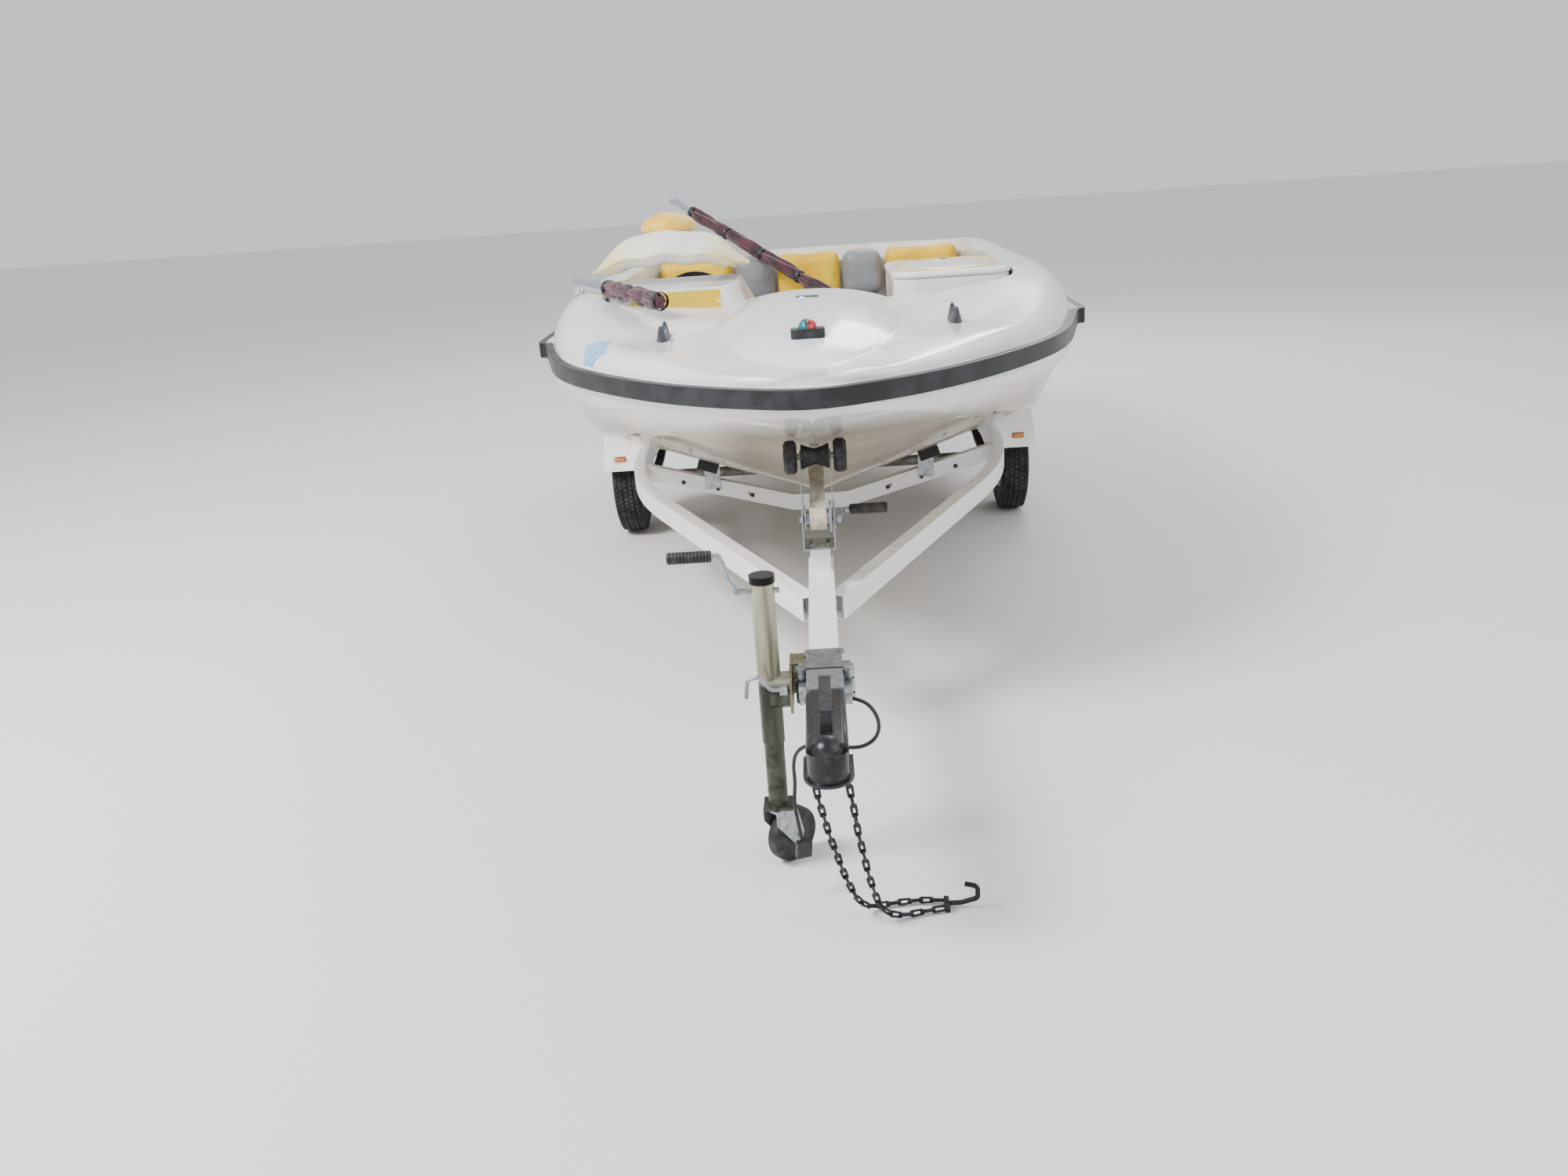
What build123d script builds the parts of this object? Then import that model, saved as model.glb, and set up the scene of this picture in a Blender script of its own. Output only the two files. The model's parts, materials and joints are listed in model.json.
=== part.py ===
from build123d import *
import os
from math import atan2, cos, degrees, pi, radians, sin, sqrt, tan

# Small jet boat on its single-axle trailer.
# Units are millimetres, +Z is up and the bow points along -Y, so starboard is -X.
# The origin is on the floor under the middle of the whole length.
# Every sub-part is written to parts/NODE.step.

# ---------------------------------------------------------------- driving dimensions
OVERALL_LENGTH = 5350.0  # coupler nose to the end of the swim platform
BOAT_LENGTH = 4310.0
BEAM = 2100.0  # over the rub rail
COUPLER_TO_AXLE = 3590.0  # ball centre to wheel centre
COUPLER_NOSE = 55.0  # ball centre to the coupler's front
WHEEL_TRACK = 1866.0
TYRE_DIAMETER = 530.0
TYRE_WIDTH = 130.0
RIM_DIAMETER = 305.0
FRAME_TOP = 480.0
FRAME_TUBE_HEIGHT = 76.0
FRAME_TUBE_WIDTH = 50.0
TUBE_WALL = 3.2
TONGUE_WIDTH = 76.0
FRAME_HALF_WIDTH = 830.0  # to the outer face of the straight rails
KEEL_HEIGHT = 345.0
RAIL_HEIGHT = 1075.0
HULL_SHELL = 22.0
DECK_SHELL = 20.0
CLEARANCE = 0.3  # between faces that only touch
RUNNING_GAP = 6.0  # between a moving panel and what is round it

# ---------------------------------------------------------------- places along the length
COUPLER_Y = -OVERALL_LENGTH / 2 + COUPLER_NOSE
AXLE_Y = COUPLER_Y + COUPLER_TO_AXLE
STERN_Y = OVERALL_LENGTH / 2
BOW_Y = STERN_Y - BOAT_LENGTH
PLATFORM_DEPTH = 255.0
TRANSOM_Y = STERN_Y - PLATFORM_DEPTH
BULKHEAD_Y = 1690.0  # behind the seat backs
FRAME_BOTTOM = FRAME_TOP - FRAME_TUBE_HEIGHT
TYRE_RADIUS = TYRE_DIAMETER / 2

written = {}


def keep(shape, name):
    """Writes one node and remembers it."""
    shape.label = name
    os.makedirs("parts", exist_ok=True)
    export_step(shape, f"parts/{name}.step")
    written[name] = shape
    return shape


def block(x0, x1, y0, y1, z0, z1):
    """A box from its corners."""
    size = (abs(x1 - x0), abs(y1 - y0), abs(z1 - z0))
    return Pos((x0 + x1) / 2, (y0 + y1) / 2, (z0 + z1) / 2) * Box(*size)


def rod_x(radius, x0, x1, y, z):
    """A cylinder along X."""
    return Pos((x0 + x1) / 2, y, z) * Rot(0, 90, 0) * Cylinder(radius, abs(x1 - x0))


def rod_y(radius, y0, y1, x, z):
    """A cylinder along Y."""
    return Pos(x, (y0 + y1) / 2, z) * Rot(90, 0, 0) * Cylinder(radius, abs(y1 - y0))


def rod_z(radius, z0, z1, x, y):
    """A cylinder along Z."""
    return Pos(x, y, (z0 + z1) / 2) * Cylinder(radius, abs(z1 - z0))


def rod(start, end, radius):
    """A cylinder between two points."""
    start, end = Vector(*start), Vector(*end)
    axis = end - start
    return Plane(origin=(start + end) * 0.5, z_dir=axis) * Cylinder(radius, axis.length)


def side_profile(points, x0, x1):
    """A plate from x0 to x1 whose (y, z) outline is a closed polyline."""
    face = make_face(Polyline([(0, y, z) for y, z in points], close=True))
    return Pos(x0, 0, 0) * extrude(face, x1 - x0, dir=(1, 0, 0))


def cross_profile(points, y0, y1):
    """A plate from y0 to y1 whose (x, z) outline is a closed polyline."""
    face = make_face(Polyline([(x, 0, z) for x, z in points], close=True))
    return Pos(0, y0, 0) * extrude(face, y1 - y0, dir=(0, 1, 0))


def mirrored(shape):
    """The same shape on the other side of the centre plane."""
    return mirror(shape, Plane.YZ)


# ================================================================ hull lines
PLAN_POWER_BOW = 2.3
PLAN_POWER_ROUND = 1 / 1.5
BOW_RUN = 1900.0  # from the tip to the full beam
PARALLEL_END = 3000.0
STERN_BEAM_SHARE = 0.93
STERN_CORNER = 260.0
RAIL_BAND = 56.0
RAIL_DEPTH = 30.0  # how far the rubber stands out from the joint flange
FLANGE_WIDTH = 60.0
DEADRISE = 18.0
RAIL_LOW = RAIL_HEIGHT - RAIL_BAND / 2
RAIL_HIGH = RAIL_HEIGHT + RAIL_BAND / 2


def rail_half(s):
    """Half-breadth over the rub rail at a distance s behind the bow's tip."""
    half = BEAM / 2
    if s < BOW_RUN:
        t = max(s, 0.0) / BOW_RUN
        return half * (1 - (1 - t) ** PLAN_POWER_BOW) ** PLAN_POWER_ROUND
    if s < PARALLEL_END:
        return half
    t = (s - PARALLEL_END) / (BOAT_LENGTH - PARALLEL_END)
    return half * (1 - (1 - STERN_BEAM_SHARE) * t * t)


def sheer_half(s, inset):
    """Half-breadth of a line that runs inside the rail's outer face by the inset."""
    return rail_half((s - inset) * BOW_RUN / (BOW_RUN - inset)) * (BEAM / 2 - inset) / (BEAM / 2)


BOW_MARKS = (0.02, 0.06, 0.14, 0.28, 0.48, 0.72)  # shares of the bow's run


def plan_face(z, inset=0.0):
    """The whole boat's outline over the rail, drawn in by the inset, as a level face."""
    bow = []
    for mark in BOW_MARKS:
        s = mark * BOW_RUN
        slope = (rail_half(s + 1) - rail_half(s - 1)) / 2
        length = sqrt(1 + slope * slope)
        bow.append((rail_half(s) - inset / length, BOW_Y + s + inset * slope / length))
    corner_y = STERN_Y - STERN_CORNER
    corner_half = rail_half(BOAT_LENGTH - STERN_CORNER)
    drift = 2 * atan2(BEAM / 2 - corner_half, corner_y - BOW_Y - PARALLEL_END)
    full = (BEAM / 2 - inset, BOW_Y + BOW_RUN)
    aft = (BEAM / 2 - inset, BOW_Y + PARALLEL_END)
    quarter = (corner_half - inset * cos(drift), corner_y - inset * sin(drift))
    stern_end = (corner_half - STERN_CORNER, STERN_Y - inset)
    with BuildSketch(Plane.XY.offset(z)) as sketch:
        with BuildLine():
            Spline((0, BOW_Y + inset), *bow, full, tangents=[(1, 0), (0, 1)])
            Line(full, aft)
            TangentArc(aft, quarter, tangent=(0, 1))
            Spline(quarter, stern_end, tangents=[(-sin(drift), cos(drift)), (-1, 0)])
            Line(stern_end, (0, STERN_Y - inset))
            mirror(about=Plane.YZ)
        make_face()
    return sketch.sketch


def prism(face, height):
    """A face raised straight up."""
    return extrude(face, height, dir=(0, 0, 1))


def between(t, start, end):
    """A value that eases from start to end as t goes from 0 to 1."""
    t = min(1.0, max(0.0, t))
    return start + (end - start) * t * t * (3 - 2 * t)


HULL_START = 60.0  # the stem's head, behind the tip of the rail
STEM_HEAD = 1008.0
PRISMATIC_FROM = 2100.0  # aft of this the bottom is a plain V
TRANSOM_AT = BOAT_LENGTH - PLATFORM_DEPTH
BAND_DROP = 66.0  # the upright band under the rail
BAND_STEP = 28.0  # and how far the bottom is set in from it
CHINE_SHARE = 0.87
BOW_STATIONS = [HULL_START + (PRISMATIC_FROM - HULL_START) * (k / 10) ** 1.6 for k in range(11)]
AFT_STATIONS = [PRISMATIC_FROM, PARALLEL_END, 3550.0, TRANSOM_AT]


def stem_height(s):
    """Height of the keel line: a raked stem that eases into the level keel."""
    t = min(1.0, max(0.0, (s - HULL_START) / (PRISMATIC_FROM - HULL_START)))
    return KEEL_HEIGHT + (STEM_HEAD - KEEL_HEIGHT) * (1 - t) ** 2.1 * (1 + 0.9 * t)


def hull_section(s, shell=0.0):
    """One closed section of the hull, drawn in by the shell's thickness."""
    keel = stem_height(s)
    small = min(1.0, (RAIL_LOW - keel) / 300)
    half = sheer_half(s, RAIL_DEPTH + 4) - shell * small
    band = RAIL_LOW - BAND_DROP * small
    step = BAND_STEP * small
    chine_half = half * CHINE_SHARE
    bow_chine = band - step - (band - step - keel) * 0.40
    stern_chine = keel + chine_half * tan(radians(DEADRISE))
    chine = between((s - 200) / (PRISMATIC_FROM - 200), bow_chine, stern_chine)
    lift = shell * 1.1 * small
    points = [
        (half, RAIL_LOW), (half, band), (half - step, band - 0.4 * step),
        (chine_half, chine + lift * 0.7), (0, keel + lift),
    ]
    points += [(-x, z) for x, z in reversed(points[:-1])]
    y = BOW_Y + s
    return make_face(Polyline([(x, y, z) for x, z in points], close=True))


def hull_solid(shell=0.0):
    """The hull's outside, or its inside when a shell is given."""
    bow = BOW_STATIONS[2:] if shell else BOW_STATIONS
    aft = AFT_STATIONS[:-1] + [TRANSOM_AT - 1.5 * shell]
    front = loft([hull_section(s, shell) for s in bow])
    back = loft([hull_section(s, shell) for s in aft], ruled=True)
    return front + back


# ================================================================ hull, rail and deck
flange_low = prism(plan_face(RAIL_LOW, RAIL_DEPTH), RAIL_BAND / 2)
flange_high = prism(plan_face(RAIL_HEIGHT, RAIL_DEPTH), RAIL_BAND / 2)
inside_low = prism(plan_face(RAIL_LOW - 1, RAIL_DEPTH + FLANGE_WIDTH), RAIL_BAND + 2)
ahead_of_transom = block(-1200, 1200, BOW_Y - 10, TRANSOM_Y - 30, 0, 1500)
joint_hole = inside_low & ahead_of_transom
INTAKE_LENGTH = 215.0
INTAKE_Y = TRANSOM_Y - 120.0 - INTAKE_LENGTH
INTAKE_HALF = 80.0
PUMP_Z = KEEL_HEIGHT + 120.0
PUMP_RADIUS = 78.0

hull = hull_solid() - hull_solid(HULL_SHELL)
hull = hull + (flange_low - joint_hole)
hull -= block(-INTAKE_HALF, INTAKE_HALF, INTAKE_Y, INTAKE_Y + INTAKE_LENGTH, 0, PUMP_Z)
hull -= rod_y(PUMP_RADIUS + CLEARANCE, TRANSOM_Y - 60, TRANSOM_Y + 20, 0, PUMP_Z)
keep(hull, "hull")

rail = prism(plan_face(RAIL_LOW), RAIL_BAND) - prism(plan_face(RAIL_LOW, RAIL_DEPTH), RAIL_BAND)
keep(rail, "rub_rail")

CREST = 158.0
BOW_CREST = 62.0
DECK_END = TRANSOM_AT - 10.0
TAIL_RUN = 800.0
COCKPIT_HALF = 800.0
COCKPIT_FRONT = -330.0
COCKPIT_CORNER = 170.0
HOOD_HALF = 400.0
HOOD_LENGTH = 980.0
HOOD_RISE = 150.0
HOOD_Y = -450.0
HOOD_Z = 1098.0
HATCH_HALF = 450.0
HATCH_FRONT = BULKHEAD_Y + 90.0
HATCH_REAR = TRANSOM_Y - 130.0


def deck_section(s, drop=0.0):
    """One closed section of the deck moulding, lowered by the drop for its underside."""
    small = min(1.0, s / 420)
    half = sheer_half(s, RAIL_DEPTH + 6) - 1.1 * drop * small
    crest = between(s / 600, 22, BOW_CREST) + between((s - 600) / 1100, 0, CREST - BOW_CREST)
    middle = between(s / 1200, 22, 88) + between((s - 2600) / 700, 0, CREST - 80)
    tail = between((s - (DECK_END - TAIL_RUN)) / TAIL_RUN, 1.0, 0.62)
    crest *= tail
    middle *= tail
    side = [(0.975, 0.5), (0.925, 0.86), (0.80, 1.0), (0.60, 0.93)]
    right = [(half * k, RAIL_HIGH + crest * rise - drop * small) for k, rise in side]
    right[-1] = (half * 0.60, RAIL_HIGH + 0.6 * crest + 0.4 * middle - drop * small)
    top = [(half, RAIL_HIGH)] + right + [(0, RAIL_HIGH + middle - drop * small)]
    top += [(-x, z) for x, z in reversed(top[:-1])]
    y = BOW_Y + s
    curve = Spline([(x, y, z) for x, z in top])
    return make_face([curve, Line((-half, y, RAIL_HIGH), (half, y, RAIL_HIGH))])


def deck_solid(drop=0.0):
    """The deck's outside, or its underside when a drop is given."""
    first = 150.0 if drop else HULL_START
    last = DECK_END - 1.2 * drop
    stations = [first + (last - first) * (k / 15) ** 1.35 for k in range(16)]
    return loft([deck_section(s, drop) for s in stations])


def hood_solid(drop=0.0):
    """The raised nose of the deck, an oval bulge."""
    bulge = Sphere(1.0)
    bulge = scale(bulge, (HOOD_HALF - drop, HOOD_LENGTH - drop, HOOD_RISE - drop))
    keep_box = block(-600, 600, -1600, COCKPIT_FRONT + 1, RAIL_HIGH, 1400)
    return (Pos(0, HOOD_Y, HOOD_Z) * bulge) & keep_box


def cockpit_face(z, inset=0.0):
    """The cockpit's opening as a face, drawn in by the inset."""
    length = BULKHEAD_Y - COCKPIT_FRONT - 2 * inset
    middle = (BULKHEAD_Y + COCKPIT_FRONT) / 2
    corner = COCKPIT_CORNER - inset
    shape = Plane.XY.offset(z) * Pos(0, middle) * RectangleRounded(2 * (COCKPIT_HALF - inset), length, corner)
    return shape


deck_outer = deck_solid() + hood_solid()
deck_inner = deck_solid(DECK_SHELL) + hood_solid(DECK_SHELL)
deck = deck_outer - deck_inner
deck = deck + (flange_high - joint_hole)
deck -= prism(cockpit_face(1000), 500)
hatch_hole = block(-HATCH_HALF, HATCH_HALF, HATCH_FRONT, HATCH_REAR, 1140, 1400)
deck -= hatch_hole
LIP_OUT = 14.0
LIP_IN = 22.0
HATCH_THICK = 26.0
lip_ring = block(
    -HATCH_HALF - LIP_OUT, HATCH_HALF + LIP_OUT, HATCH_FRONT - LIP_OUT, HATCH_REAR + LIP_OUT, 1150, 1400,
)
lip_ring -= block(
    -HATCH_HALF + LIP_IN, HATCH_HALF - LIP_IN, HATCH_FRONT + LIP_IN, HATCH_REAR - LIP_IN, 1100, 1400,
)
lip = (deck_solid(DECK_SHELL - 2) & lip_ring) - deck_solid(HATCH_THICK + 10)
lip -= hatch_hole - deck_solid(HATCH_THICK + CLEARANCE)
deck += lip
keep(deck, "deck")

FLOOR_Z = 700.0
LINER_WALL = 12.0
tub = prism(cockpit_face(FLOOR_Z, CLEARANCE), 700)
tub -= prism(cockpit_face(FLOOR_Z + LINER_WALL, CLEARANCE + LINER_WALL), 700)
below_deck = block(-1000, 1000, -1000, 2400, 0, RAIL_HIGH)
above_rail = block(-1000, 1000, -1000, 2400, RAIL_LOW - 1, 1500)
liner = tub & (deck_outer + below_deck) & (hull_solid(HULL_SHELL + 0.4) + above_rail)
LINER_HALF = COCKPIT_HALF - CLEARANCE - LINER_WALL
LINER_REAR = BULKHEAD_Y - CLEARANCE - LINER_WALL
SOLE = FLOOR_Z + LINER_WALL


# ================================================================ cockpit furniture
SEAT_FRONT = 1010.0
SEAT_TOP = 1010.0
CUSHION_THICK = 90.0
BACK_FRONT = 1470.0
BACK_LOW = SEAT_TOP + 4.0
BACK_TOP = 1262.0
CENTRE_BACK_HALF = 168.0
BOLSTER_HALF = 105.0
SEAT_GAP = 2.0
BENCH_HALF = LINER_HALF - 18.0
BENCH_REAR = LINER_REAR - 18.0


def soft_block(x0, x1, y0, y1, z0, z1, radius):
    """A padded block with every edge rounded."""
    return fillet(block(x0, x1, y0, y1, z0, z1).edges(), radius)


bench_top = SEAT_TOP - CUSHION_THICK
bench = block(-BENCH_HALF, BENCH_HALF, SEAT_FRONT, BENCH_REAR, SOLE - 1, bench_top)
bench -= block(-BENCH_HALF + 15, BENCH_HALF - 15, SEAT_FRONT + 15, BENCH_REAR - 15, SOLE, bench_top - 15)
bench += block(-BENCH_HALF, BENCH_HALF, BACK_FRONT + 118, BENCH_REAR, bench_top, BACK_TOP - 60)

keep(liner + bench, "cockpit_liner")
cushion_low = bench_top + CLEARANCE
third = (2 * BENCH_HALF - 2 * SEAT_GAP) / 3
cushions = []
for left in (-BENCH_HALF, -third / 2, third / 2 + SEAT_GAP):
    cushions.append(
        soft_block(left, left + third, SEAT_FRONT - 15, BACK_FRONT + 60, cushion_low, SEAT_TOP, 26)
    )
keep(Compound(cushions), "seat_cushions")

back_rear = BACK_FRONT + 118 - CLEARANCE
backs = [soft_block(-CENTRE_BACK_HALF, CENTRE_BACK_HALF, BACK_FRONT, back_rear, BACK_LOW, BACK_TOP, 30)]
side_back = CENTRE_BACK_HALF + 2 * BOLSTER_HALF + 2 * SEAT_GAP
outer_back = soft_block(side_back, BENCH_HALF, BACK_FRONT, back_rear, BACK_LOW, BACK_TOP, 30)
backs += [outer_back, mirrored(outer_back)]
keep(Compound(backs), "seat_backs")

bolster_x = CENTRE_BACK_HALF + SEAT_GAP
bolster = soft_block(
    bolster_x, bolster_x + 2 * BOLSTER_HALF, BACK_FRONT - 28, back_rear, BACK_LOW, BACK_TOP - 4, 40
)
keep(Compound([bolster, mirrored(bolster)]), "seat_bolsters")

# helm console: a moulded pod at the starboard front of the cockpit
CONSOLE_IN = 215.0
CONSOLE_OUT = 780.0
CONSOLE_FRONT = -170.0
CONSOLE_REAR = 520.0
CONSOLE_TOP = 1262.0
CONSOLE_SHOULDER = 1120.0
SHELL_WALL = 10.0


def console_solid(inset):
    """The pod's outside, or its inside when an inset is given."""
    rows = [
        (SOLE + CLEARANCE, 0.0, 0.0, 60),
        (CONSOLE_SHOULDER, 0.0, 10.0, 60),
        (CONSOLE_TOP - inset, 60.0, 130.0, 110),
    ]
    faces = []
    for z, side, rear, corner in rows:
        width = CONSOLE_OUT - CONSOLE_IN - side - 2 * inset
        length = CONSOLE_REAR - CONSOLE_FRONT - rear - 2 * inset
        x = -(CONSOLE_OUT + CONSOLE_IN + side) / 2
        y = (CONSOLE_FRONT + CONSOLE_REAR - rear) / 2
        faces.append(Plane.XY.offset(z) * Pos(x, y) * RectangleRounded(width, length, corner - inset))
    return loft(faces, ruled=True)


console = console_solid(0.0) - console_solid(SHELL_WALL)

COWL_X = -560.0
COWL_Y = 250.0
COWL_LOW = CONSOLE_TOP + CLEARANCE
COWL_TOP = 1470.0
cowl = loft([
    Plane.XY.offset(COWL_LOW) * Pos(COWL_X, COWL_Y - 25) * Ellipse(240, 250),
    Plane.XY.offset(COWL_LOW + 95) * Pos(COWL_X, COWL_Y) * Ellipse(330, 275),
    Plane.XY.offset(COWL_LOW + 140) * Pos(COWL_X, COWL_Y) * Ellipse(315, 265),
    Plane.XY.offset(COWL_TOP) * Pos(COWL_X, COWL_Y + 30) * Ellipse(150, 170),
])
keep(cowl, "helm_cowl")
PAD_RISE = 62.0
pad = scale(Sphere(1.0), (112, 150, 2 * PAD_RISE))
pad = Pos(COWL_X, COWL_Y + 30, COWL_TOP + CLEARANCE) * pad
pad &= block(-1000, 0, 0, 600, COWL_TOP + CLEARANCE, 1700)
pad &= block(-1000, 0, 0, 600, COWL_TOP + CLEARANCE, COWL_TOP + PAD_RISE)
keep(pad, "helm_pad")

# steering wheel on a raked column behind the console
WHEEL_RAKE = 25.0  # the column's lean from level
HELM_X = -500.0
HELM_Y = 612.0
HELM_Z = 1120.0
HELM_RADIUS = 150.0
column_axis = Vector(0, cos(radians(WHEEL_RAKE)), sin(radians(WHEEL_RAKE)))
helm_centre = Vector(HELM_X, HELM_Y, HELM_Z)
helm_plane = Plane(origin=helm_centre, x_dir=(1, 0, 0), z_dir=column_axis)
grip = helm_plane * Torus(HELM_RADIUS, 14)
boss = helm_plane * Pos(0, 0, -12) * Cylinder(38, 40)
spokes = helm_plane * Pos(0, 0, -8) * Box(2 * HELM_RADIUS - 8, 34, 12)
spokes += helm_plane * Pos(0, -HELM_RADIUS / 2, -8) * Box(34, HELM_RADIUS - 4, 12)
keep(grip + boss + spokes, "steering_wheel")
column_top = helm_centre - column_axis * (32 + CLEARANCE)
column_foot = helm_centre - column_axis * 200
column = rod(tuple(column_foot), tuple(column_top), 26) - console_solid(SHELL_WALL)
keep(console + column, "helm_console")

# stowage box at the port front of the cockpit
STOWAGE_IN = 330.0
STOWAGE_REAR = 430.0
STOWAGE_TOP = 1240.0
stowage_x = (STOWAGE_IN + CONSOLE_OUT) / 2
stowage_y = (CONSOLE_FRONT + STOWAGE_REAR) / 2


def stowage_ring(z, inset, corner):
    """A level outline of the stowage box."""
    width = CONSOLE_OUT - STOWAGE_IN - 2 * inset
    length = STOWAGE_REAR - CONSOLE_FRONT - 2 * inset
    return Plane.XY.offset(z) * Pos(stowage_x, stowage_y) * RectangleRounded(width, length, corner - inset)


stowage = prism(stowage_ring(SOLE + CLEARANCE, 0, 90), STOWAGE_TOP - SOLE - CLEARANCE)
stowage -= prism(stowage_ring(950, SHELL_WALL, 90), 400)
stowage -= prism(stowage_ring(0, SHELL_WALL, 90), 930)
keep(stowage, "stowage_box")
LID_THICK = 26.0
lid = prism(stowage_ring(STOWAGE_TOP + CLEARANCE, -6, 90), LID_THICK)
lid = fillet(lid.edges().filter_by(Axis.Z, reverse=True).group_by(Axis.Z)[-1], 14)
keep(lid, "stowage_lid")

hatch = block(
    -HATCH_HALF + RUNNING_GAP, HATCH_HALF - RUNNING_GAP,
    HATCH_FRONT + RUNNING_GAP, HATCH_REAR - RUNNING_GAP, 1140, 1400,
)
hatch = (hatch & deck_solid()) - deck_solid(HATCH_THICK)
keep(hatch, "engine_hatch")

# engine and jet drive
ENGINE_HALF = 230.0
ENGINE_LENGTH = 350.0
ENGINE_TOP = 900.0
inner_keel = KEEL_HEIGHT + 1.1 * HULL_SHELL
ENGINE_LOW = inner_keel + ENGINE_HALF * tan(radians(DEADRISE)) + CLEARANCE
engine_front = LINER_REAR + LINER_WALL + 12
engine = block(-ENGINE_HALF, ENGINE_HALF, engine_front, engine_front + ENGINE_LENGTH, ENGINE_LOW, ENGINE_TOP)
keep(engine, "engine_block")

DUCT_WALL = 8.0
PUMP_WALL = 8.0
PUMP_END = TRANSOM_Y + 36.0
NOZZLE_PIVOT_Y = PUMP_END + 40.0
OUTLET_RADIUS = 46.0
duct_half = INTAKE_HALF - CLEARANCE
duct_rear = INTAKE_Y + INTAKE_LENGTH - CLEARANCE
duct = block(-duct_half, duct_half, INTAKE_Y + CLEARANCE, duct_rear, 0, PUMP_Z + PUMP_RADIUS)
duct &= hull_solid()
duct -= block(
    -duct_half + DUCT_WALL, duct_half - DUCT_WALL,
    INTAKE_Y + CLEARANCE + DUCT_WALL, duct_rear - DUCT_WALL, 0, PUMP_Z + PUMP_RADIUS - DUCT_WALL,
)
pump = duct + rod_y(PUMP_RADIUS, duct_rear - 1, PUMP_END, 0, PUMP_Z)
pump += Pos(0, PUMP_END + 7, PUMP_Z) * Rot(-90, 0, 0) * Cone(PUMP_RADIUS - 4, OUTLET_RADIUS, 14)
pump += rod_y(OUTLET_RADIUS, PUMP_END, NOZZLE_PIVOT_Y + 4, 0, PUMP_Z)
pump -= rod_y(PUMP_RADIUS - PUMP_WALL, duct_rear - 30, PUMP_END - 12, 0, PUMP_Z)
pump -= rod_y(OUTLET_RADIUS - 7, PUMP_END - 20, PUMP_END + 50, 0, PUMP_Z)
SHAFT_RADIUS = 13.0
pump -= rod_y(SHAFT_RADIUS + 0.06, INTAKE_Y - 20, INTAKE_Y + 30, 0, PUMP_Z)
NOZZLE_RADIUS = 60.0  # inside the steering nozzle's mouth
NOZZLE_WALL = 6.0
PIN_RADIUS = 6.0
ear_low = NOZZLE_RADIUS + NOZZLE_WALL + 5
for side in (1, -1):
    z0 = PUMP_Z + side * ear_low
    ear = block(-15, 15, PUMP_END - 30, NOZZLE_PIVOT_Y + 15, z0, z0 + side * 9)
    ear -= rod_z(PIN_RADIUS + 0.06, z0 - 20, z0 + 20, 0, NOZZLE_PIVOT_Y)
    pump += ear
BUCKET_HALF = 100.0
TRUNNION_Y = TRANSOM_Y + 42.0
for side in (1, -1):
    cheek_in = side * (PUMP_RADIUS - 5)
    cheek_out = side * (PUMP_RADIUS + 7)
    pump += block(cheek_in, cheek_out, PUMP_END - 28, TRUNNION_Y + 13, PUMP_Z - 13, PUMP_Z + 13)
    pump += rod_x(8, side * (PUMP_RADIUS + 1), side * (BUCKET_HALF + 12), TRUNNION_Y, PUMP_Z)

IMPELLER_Y = TRANSOM_Y - 40.0
shaft_front = engine_front + ENGINE_LENGTH + CLEARANCE
impeller = rod_y(SHAFT_RADIUS, shaft_front, IMPELLER_Y + 40, 0, PUMP_Z)
impeller += rod_y(28, IMPELLER_Y - 40, IMPELLER_Y + 40, 0, PUMP_Z)
for turn in range(4):
    blade = Pos(0, 0, (PUMP_RADIUS - PUMP_WALL) / 2) * Box(7, 64, PUMP_RADIUS - PUMP_WALL - 12)
    blade = Rot(0, 0, 35) * blade
    impeller += Pos(0, IMPELLER_Y, PUMP_Z) * Rot(0, 90 * turn, 0) * blade
impeller &= rod_y(PUMP_RADIUS - PUMP_WALL - 5, shaft_front, IMPELLER_Y + 60, 0, PUMP_Z)
keep(impeller, "impeller")

bars = Part()
for x in (-48, -16, 16, 48):
    bars += block(x - 4, x + 4, INTAKE_Y + 10, duct_rear - 10, KEEL_HEIGHT + 30, KEEL_HEIGHT + 42)
for y in (INTAKE_Y + 12, duct_rear - 24):
    bars += block(-duct_half + 1, duct_half - 1, y, y + 12, KEEL_HEIGHT + 30, KEEL_HEIGHT + 42)
keep(pump + bars, "jet_pump")

NOZZLE_LENGTH = 100.0
nozzle_start = NOZZLE_PIVOT_Y - 4
nozzle_mid = nozzle_start + NOZZLE_LENGTH / 2
outer_cone = Cone(NOZZLE_RADIUS + NOZZLE_WALL, 52, NOZZLE_LENGTH)
inner_cone = Cone(NOZZLE_RADIUS, 45, NOZZLE_LENGTH)
nozzle = Pos(0, nozzle_mid, PUMP_Z) * Rot(-90, 0, 0) * (outer_cone - inner_cone)
for side in (1, -1):
    z0 = PUMP_Z + side * (NOZZLE_RADIUS + 2)
    nozzle += rod_z(PIN_RADIUS, z0, z0 + side * 18, 0, NOZZLE_PIVOT_Y)
keep(nozzle, "steering_nozzle")

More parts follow.
